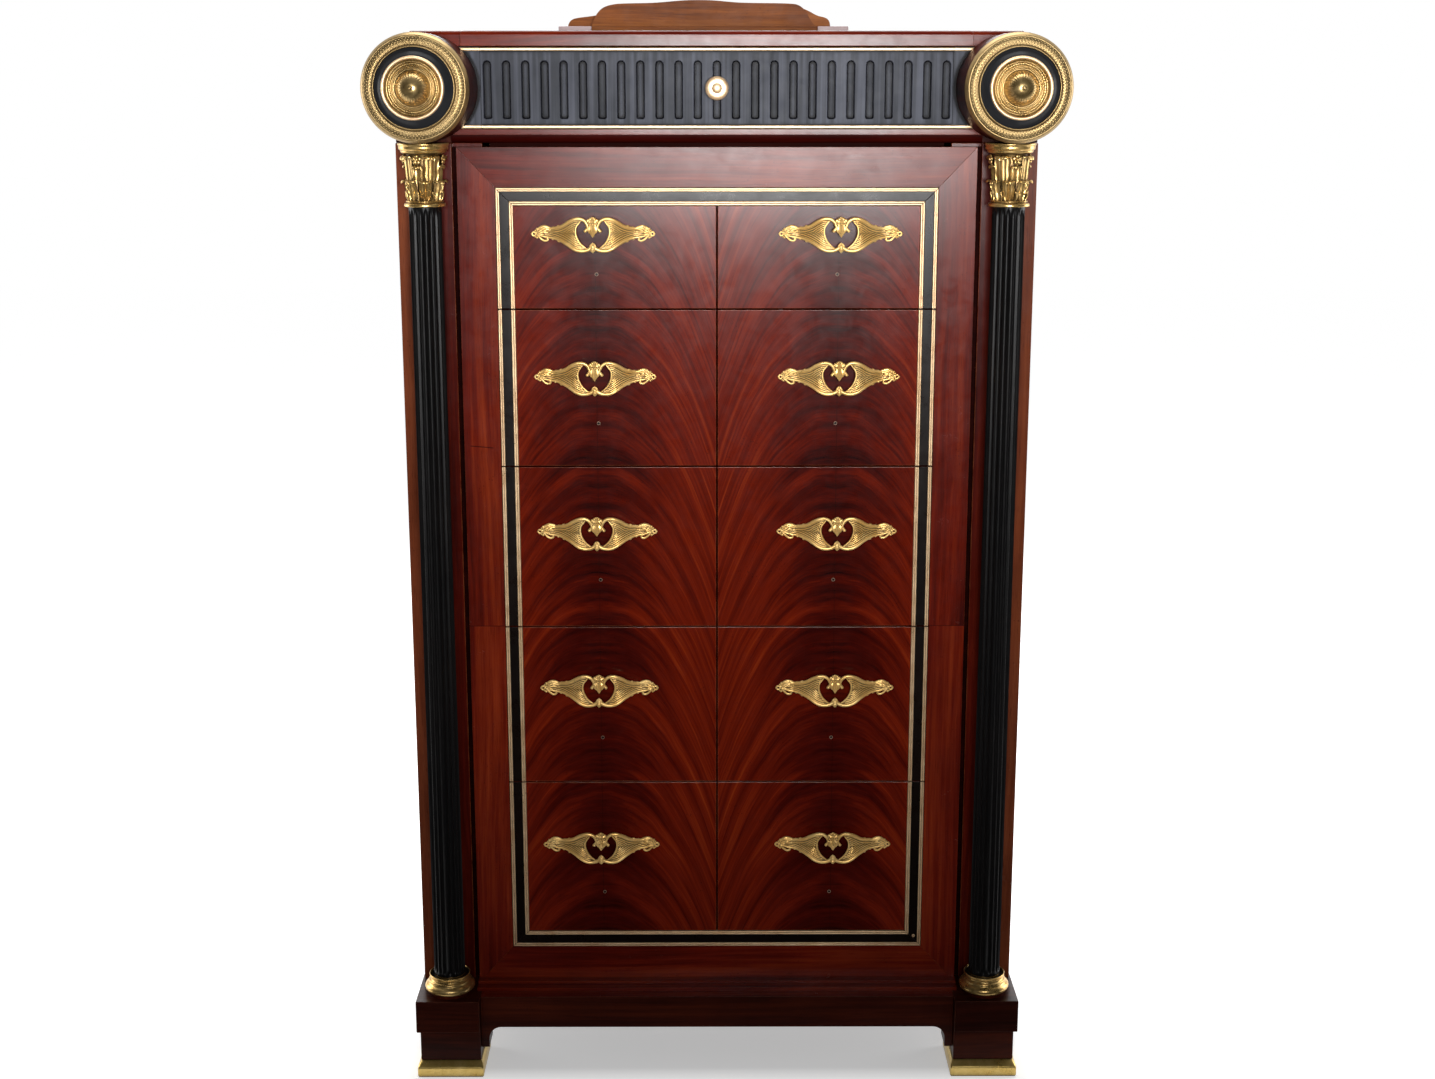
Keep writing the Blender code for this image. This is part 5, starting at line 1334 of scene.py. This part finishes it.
def frieze_drawer_pieces():
    """Fluted board between two stringings."""
    front = ("frieze_drawer_front",)
    board = ease(frieze_board(), FLUTE_ARRIS, 3)
    piece("frieze_board", board, frieze_black, "ebonised_wood", "frieze_drawer", front, even=True)
    strings = bmesh.new()
    for a, b in STRING_LEVELS:
        section = single_bead(a, b, FRIEZE_Y, BEAD_PROUD, BEAD_DEPTH)
        add_form(strings, run(section, lambda z: FRIEZE_LOW.x, lambda z: FRIEZE_HIGH.x, "X"))
    piece("frieze_strings", closed(strings), string_gilt, "gilt_bronze", "frieze_drawer", front, 60)


def frieze_case_pieces():
    """Case of the frieze: black boards and stringings run on behind the drums."""
    case_low, case_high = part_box("frieze_case")
    case = cut_beyond(solid_of("frieze_case"), (0, FRIEZE_Y + END_FACING, 0), (0, -1, 0))
    piece("frieze_case_eased", ease(case, BOARD_ARRIS), wood_across, "mahogany", "case", ("frieze_case",),
          even=True)
    ends, strings = bmesh.new(), bmesh.new()
    for sign, _ in SIDES:
        x_in, x_out = sign * (FRIEZE_HIGH.x + END_GAP), sign * (case_high.x - JOINT)
        x_string = sign * (FRIEZE_HIGH.x + END_BEAD_REACH)
        board = slab(oblong(x_in, x_out, case_low.z, case_high.z), FRIEZE_Y, FRIEZE_Y + END_FACING - JOINT)
        add_form(ends, ease(board, THIN_ARRIS))
        for a, b in STRING_LEVELS:
            section = single_bead(a, b, FRIEZE_Y, BEAD_PROUD, END_BEAD_DEPTH)
            add_form(strings, run(section, lambda z: x_in, lambda z: x_string, "X"))
    piece("frieze_ends", ends, frieze_black, "ebonised_wood", "case", ("frieze_case",), even=True)
    piece("frieze_end_strings", closed(strings), string_gilt, "gilt_bronze", "case", ("frieze_case",), 60)


def knob_piece():
    """The frieze drawer's turned knob."""
    low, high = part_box("frieze_knob")
    middle = ((low.x + high.x) / 2, high.y, (low.z + high.z) / 2)
    radius, reach = (high.x - low.x) / 2, high.y - low.y
    profile = softened([(r * radius, share * reach) for r, share in KNOB_PROFILE], 2)
    knob = turned([(0, reach)] + profile + [(0, 0)], 48, middle, True)
    piece("frieze_knob_turned", knob, string_gilt, "pale_gilt", "frieze_drawer", ("frieze_knob",), 60)


frieze_drawer_pieces()
frieze_case_pieces()
knob_piece()

# Sides, roundels and shoes, with a dark sheet of painted shade in the gap between each pier and the frame
GAP_W = 0.0084
GAP_BACK = 0.0115
GAP_THICK = 0.0012


def side_pieces(sign, side):
    """A case side with its pier, the drum above, the gilt shoe, and a dark sheet of painted shade in the gap
    beside the frame.
    """
    eased_node("side_" + side, pier_wood, "mahogany", ROUND_ARRIS)
    eased_node("roundel_" + side, drum_wood, "mahogany", PLAIN_ARRIS)
    eased_node("sabot_" + side, lit_sabot_gilt, "gilt_bronze", SABOT_ARRIS, 4)
    x0, x1 = sorted((sign * (FRAME_HIGH.x + JOINT), sign * (FRAME_HIGH.x + GAP_W)))
    tongue_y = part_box("side_" + side)[0].y + GAP_BACK
    # A thin dark sheet at the back of the gap: painted shade
    gap = slab(oblong(x0, x1, FRAME_LOW.z, FRAME_HIGH.z), tongue_y - GAP_THICK, tongue_y - JOINT)
    piece("shadow_gap_" + side, gap, gap_shade_wood, "mahogany", "case", ("side_" + side,))


for sign, side in SIDES:
    side_pieces(sign, side)

# Boards that keep the part's own form with eased arrises, some cut in two for painted shade and light
CORNICE_RAIL = 0.0078
TOP_SLACK = 0.0005
BACK_SLACK = 0.001


def split_piece(name, node, cut_z, up, arris, mat, slot, sharp=40):
    """What a node has below a level for up 1, or above it for up -1, in its own finish."""
    piece(name, ease(cut_off(node, cut_z, up), arris), mat, slot, "case", (node,), sharp, True)


def top_board_piece():
    """The thin top board with a well rounded brow at its front and ends."""
    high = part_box("top_board")[1]
    board = solid_of("top_board")
    brow = [edge for edge in board.edges
            if all(v.co.z > high.z - TOP_SLACK and v.co.y < high.y - BACK_SLACK for v in edge.verts)]
    rounded(board, brow, BROW_ARRIS, 5)
    board = ease(board, BOARD_ARRIS)
    piece("top_board_eased", board, wood_across, "mahogany", "case", ("top_board",), even=True)


rail_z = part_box("cornice_moulding")[1].z - CORNICE_RAIL
split_piece("cornice_rail", "cornice_moulding", rail_z, -1, BOARD_ARRIS, wood_across, "mahogany")
# The cove under the cornice rail is painted dark as shade
split_piece("cornice_cove", "cornice_moulding", rail_z - JOINT, 1, FINE_ARRIS, shaded_cove_wood, "mahogany", 60)
top_board_piece()
eased_node("plinth", plinth_wood, "mahogany", PLINTH_ARRIS)
plinth_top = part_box("plinth")[1].z
# Painted light: the apron's moulding keeps the lighter mahogany, lighter than the rail below, where its top
# faces catch the light
split_piece("apron_rail", "apron", plinth_top - JOINT, 1, BOARD_ARRIS, plinth_wood, "mahogany")
split_piece("apron_moulding", "apron", plinth_top, -1, BOARD_ARRIS, wood_across, "mahogany")

# Crest: outlines of its front board and of the low board behind it, as the photograph shows them
CREST_FRONT = ((-0.1995, 1.6230), (-0.1987, 1.6267), (-0.1948, 1.6367), (-0.1881, 1.6466), (-0.1790, 1.6534),
               (-0.1645, 1.6573), (-0.1460, 1.6585), (-0.1050, 1.6590), (-0.0800, 1.6608), (-0.0550, 1.6632),
               (-0.0290, 1.6640), (-0.0030, 1.6632), (0.0220, 1.6608), (0.0450, 1.6592), (0.1231, 1.6586),
               (0.1343, 1.6550), (0.1434, 1.6470), (0.1485, 1.6367), (0.1543, 1.6271), (0.1600, 1.6230))
CREST_BACK = ((-0.2391, 1.6226), (-0.2378, 1.6279), (-0.2336, 1.6335), (-0.2245, 1.6367), (-0.1977, 1.6395),
              (-0.1500, 1.6480), (0.0900, 1.6550), (0.1046, 1.6570), (0.1232, 1.6560), (0.1459, 1.6494),
              (0.1624, 1.6399), (0.1756, 1.6375), (0.1823, 1.6327), (0.1841, 1.6226))
CREST_SEAT = 0.0003
CREST_BACK_THICK = 0.018
CREST_LEAST = 50
PLATE_THICK = 0.0139
PLATE_CUTS = (-0.1990, 0.1618)


def crest_pieces():
    """The shaped crest, the low board behind it, and the plate under both, its ends painted pale as a
    highlight.
    """
    low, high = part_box("crest_board")
    front = slab(softened(CREST_FRONT, 2), low.y, high.y)
    piece("crest_front", ease(front, CREST_ARRIS, 3, CREST_LEAST), crest_wood, "crest_wood", "case",
          ("crest_board",), even=True)
    back_y = high.y + CREST_SEAT
    back = slab(softened(CREST_BACK, 2), back_y, back_y + CREST_BACK_THICK)
    piece("crest_back", ease(back, ROUND_ARRIS, 2, CREST_LEAST), crest_wood, "crest_wood", "case",
          ("crest_base",), even=True)
    low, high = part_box("crest_base")
    left, right = PLATE_CUTS
    # The plate's two ends take the pale colours of a painted highlight
    for name, x0, x1, mat in (("crest_plate_left", low.x, left, highlit_plate_wood),
                              ("crest_plate_middle", left + JOINT, right, crest_wood),
                              ("crest_plate_right", right + JOINT, high.x, highlit_plate_wood)):
        plate = slab(oblong(x0, x1, low.z, low.z + PLATE_THICK), low.y, high.y)
        piece(name, ease(plate, ROUND_ARRIS, 3), mat, "crest_wood", "case", ("crest_base",), even=True)


crest_pieces()
eased_node("back_panel", inner_across, "inner_wood", PLAIN_ARRIS)
cap_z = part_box("cornice_moulding")[0].z
split_piece("rack_body", "inner_rack", cap_z, 1, RACK_ARRIS, inner_across, "inner_wood")
split_piece("rack_cap", "inner_rack", cap_z, -1, RACK_ARRIS, drum_wood, "mahogany")

# A dark sheet of painted shade for the seams, how far it stands off the boards, and what still counts as
# their front
SHADE_SHEET_GAP = 0.00003
SHADE_SHEET_THICK = 0.0002
SHADE_SHEET_SLACK = 0.0001


def rack_gap_shade_piece():
    """Dark sheet on the front edges of the inner boards, seen through the seams between the drawers: painted
    shade.
    """
    rack_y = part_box("inner_rack")[0].y
    gap_shade_sheet = cut_off("inner_rack", cap_z, 1)
    behind = [face for face in gap_shade_sheet.faces if any(abs(v.co.y - rack_y) > SHADE_SHEET_SLACK for v in face.verts)]
    bmesh.ops.delete(gap_shade_sheet, geom=behind, context="FACES")
    bmesh.ops.translate(gap_shade_sheet, vec=(0, -SHADE_SHEET_GAP, 0), verts=gap_shade_sheet.verts)
    drawn = bmesh.ops.extrude_face_region(gap_shade_sheet, geom=list(gap_shade_sheet.faces))["geom"]
    bmesh.ops.translate(gap_shade_sheet, vec=(0, -SHADE_SHEET_THICK, 0), verts=only(VERT, drawn))
    # Painted shade: the sheet is near black so the seams between the drawers read as shaded
    piece("rack_gap_shade", closed(gap_shade_sheet), gap_shade_wood, "mahogany", "case")


rack_gap_shade_piece()
for node in [name for name in NODES if name.endswith("_box")]:
    eased_node(node, inner_deep, "inner_wood", PLAIN_ARRIS)

# Floor, world and lamps
FLOOR_GREY = (0.80, 0.80, 0.80, 1)
SHADE_HALF = (0.44, 0.24)
SHADE_MIDDLE_Y = 0.06
SHADE_FADE = 0.09
GLOW_NEAR = 0.40
GLOW_FAR = 0.9
WORLD_LIGHT = 0.12


def seen_by_camera(net):
    """1 for what the camera sees directly, mirrored or through glass."""
    path = net.add("LightPath").outputs
    mirrored = net.math("MAXIMUM", path["Is Glossy Ray"], path["Is Transmission Ray"])
    return net.math("MAXIMUM", path["Is Camera Ray"], mirrored)


def floor_finish():
    """A white floor that keeps the chest's shadow, and glows less close round its feet: a painted shadow
    there.
    """
    mat = bpy.data.materials.new("floor")
    mat.use_nodes = True
    net = Net(mat.node_tree)
    mat.node_tree.nodes.remove(mat.node_tree.nodes["Principled BSDF"])
    diffuse = net.add("BsdfDiffuse", Color=FLOOR_GREY).outputs[0]
    x, y, _ = net.add("SeparateXYZ", Vector=net.add("TexCoord").outputs["Object"]).outputs
    aside = net.math("SUBTRACT", net.math("ABSOLUTE", x), SHADE_HALF[0])
    ahead = net.math("SUBTRACT", net.math("ABSOLUTE", net.math("SUBTRACT", y, SHADE_MIDDLE_Y)), SHADE_HALF[1])
    # Painted shadow: the glow falls from far to near inside a box round the chest
    far = net.remap(net.math("MAXIMUM", aside, ahead), 0.0, SHADE_FADE, GLOW_NEAR, GLOW_FAR)
    strength = net.math("MULTIPLY", seen_by_camera(net), far)
    glow = net.add("Emission", Color=(1, 1, 1, 1), Strength=strength).outputs[0]
    both = net.add("AddShader")
    net.feed(both.inputs[0], diffuse)
    net.feed(both.inputs[1], glow)
    net.feed(mat.node_tree.nodes["Material Output"].inputs["Surface"], both.outputs[0])
    return mat


def dark_card_finish():
    """Black card for the walls of the studio that the polish mirrors."""
    mat = bpy.data.materials.new("dark_card")
    mat.use_nodes = True
    shader = mat.node_tree.nodes["Principled BSDF"]
    shader.inputs["Base Color"].default_value = (0.004, 0.004, 0.004, 1)
    shader.inputs["Roughness"].default_value = 1
    shader.inputs["Specular IOR Level"].default_value = 0
    return mat


def stage_plane(name, mat, corners, only_glossy=False):
    """A flat card of the studio, where asked seen in reflections alone."""
    form = bmesh.new()
    form.faces.new([form.verts.new(corner) for corner in corners])
    mesh = bpy.data.meshes.new(name)
    form.to_mesh(mesh)
    form.free()
    mesh.materials.append(mat)
    obj = bpy.data.objects.new(name, mesh)
    bpy.context.scene.collection.objects.link(obj)
    if only_glossy:
        obj.visible_camera = False
        obj.visible_diffuse = False
        obj.visible_shadow = False
        obj.visible_transmission = False


FLOOR_HALF = 12
WALL_Y = -4.6
WALL_HALF = 9
CARD_FOOT = -0.5
CARD_X = 4.2
CARD_TOP = 6
SIDE_CARD_BACK = 0.3
TOP_CARD_BACK = -0.2
FLOOR_CARD_HALF = 4
FLOOR_CARD_BACK = -0.30
FLOOR_CARD_Z = 0.002
card = dark_card_finish()
stage_plane("floor", floor_finish(),
            [(x, y, 0) for x, y in oblong(-FLOOR_HALF, FLOOR_HALF, -FLOOR_HALF, FLOOR_HALF)])
stage_plane("studio_wall", card,
            [(x, WALL_Y, z) for x, z in oblong(-WALL_HALF, WALL_HALF, CARD_FOOT, WALL_HALF)], True)
for sign in (-1, 1):
    stage_plane("side_card_%d" % (sign + 1), card,
                [(sign * CARD_X, y, z) for y, z in oblong(WALL_Y, SIDE_CARD_BACK, CARD_FOOT, CARD_TOP)], True)
stage_plane("top_card", card,
            [(x, y, CARD_TOP) for x, y in oblong(-CARD_X, CARD_X, WALL_Y, TOP_CARD_BACK)], True)
stage_plane("floor_card", card,
            [(x, y, FLOOR_CARD_Z)
             for x, y in oblong(-FLOOR_CARD_HALF, FLOOR_CARD_HALF, WALL_Y, FLOOR_CARD_BACK)], True)

world = bpy.data.worlds.new("studio")
bpy.context.scene.world = world
world.use_nodes = True
air = Net(world.node_tree)
background = world.node_tree.nodes["Background"]
background.inputs["Color"].default_value = (1, 1, 1, 1)
air.feed(background.inputs["Strength"], air.remap(seen_by_camera(air), 0.0, 1.0, WORLD_LIGHT, 1.0))


def lamp(name, place, aim, size, power, spread):
    """A white softbox that points at its aim."""
    data = bpy.data.lights.new(name, "AREA")
    data.shape = "RECTANGLE"
    data.size, data.size_y = size
    data.energy = power
    data.spread = math.radians(spread)
    obj = bpy.data.objects.new(name, data)
    obj.location = place
    obj.rotation_euler = (Vector(aim) - Vector(place)).to_track_quat("-Z", "Y").to_euler()
    obj.visible_camera = False
    bpy.context.scene.collection.objects.link(obj)


lamp("main_softbox", (0.20, -3.35, 1.60), (0.0, 0.0, 1.72), (1.1, 0.6), 17.4, 61)
lamp("left_softbox", (-3.2, 0.95, 1.3), (-0.4, 0.1, 0.9), (1.2, 1.8), 24, 150)
lamp("right_softbox", (3.2, 0.95, 1.3), (0.4, 0.1, 0.9), (1.2, 1.8), 24, 150)
lamp("top_softbox", (0.0, 0.75, 3.8), (0.0, 0.3, 1.5), (2.0, 1.2), 40, 150)
lamp("back_softbox", (0.0, 3.6, 1.6), (0.0, 0.2, 0.9), (2.4, 1.8), 50, 150)
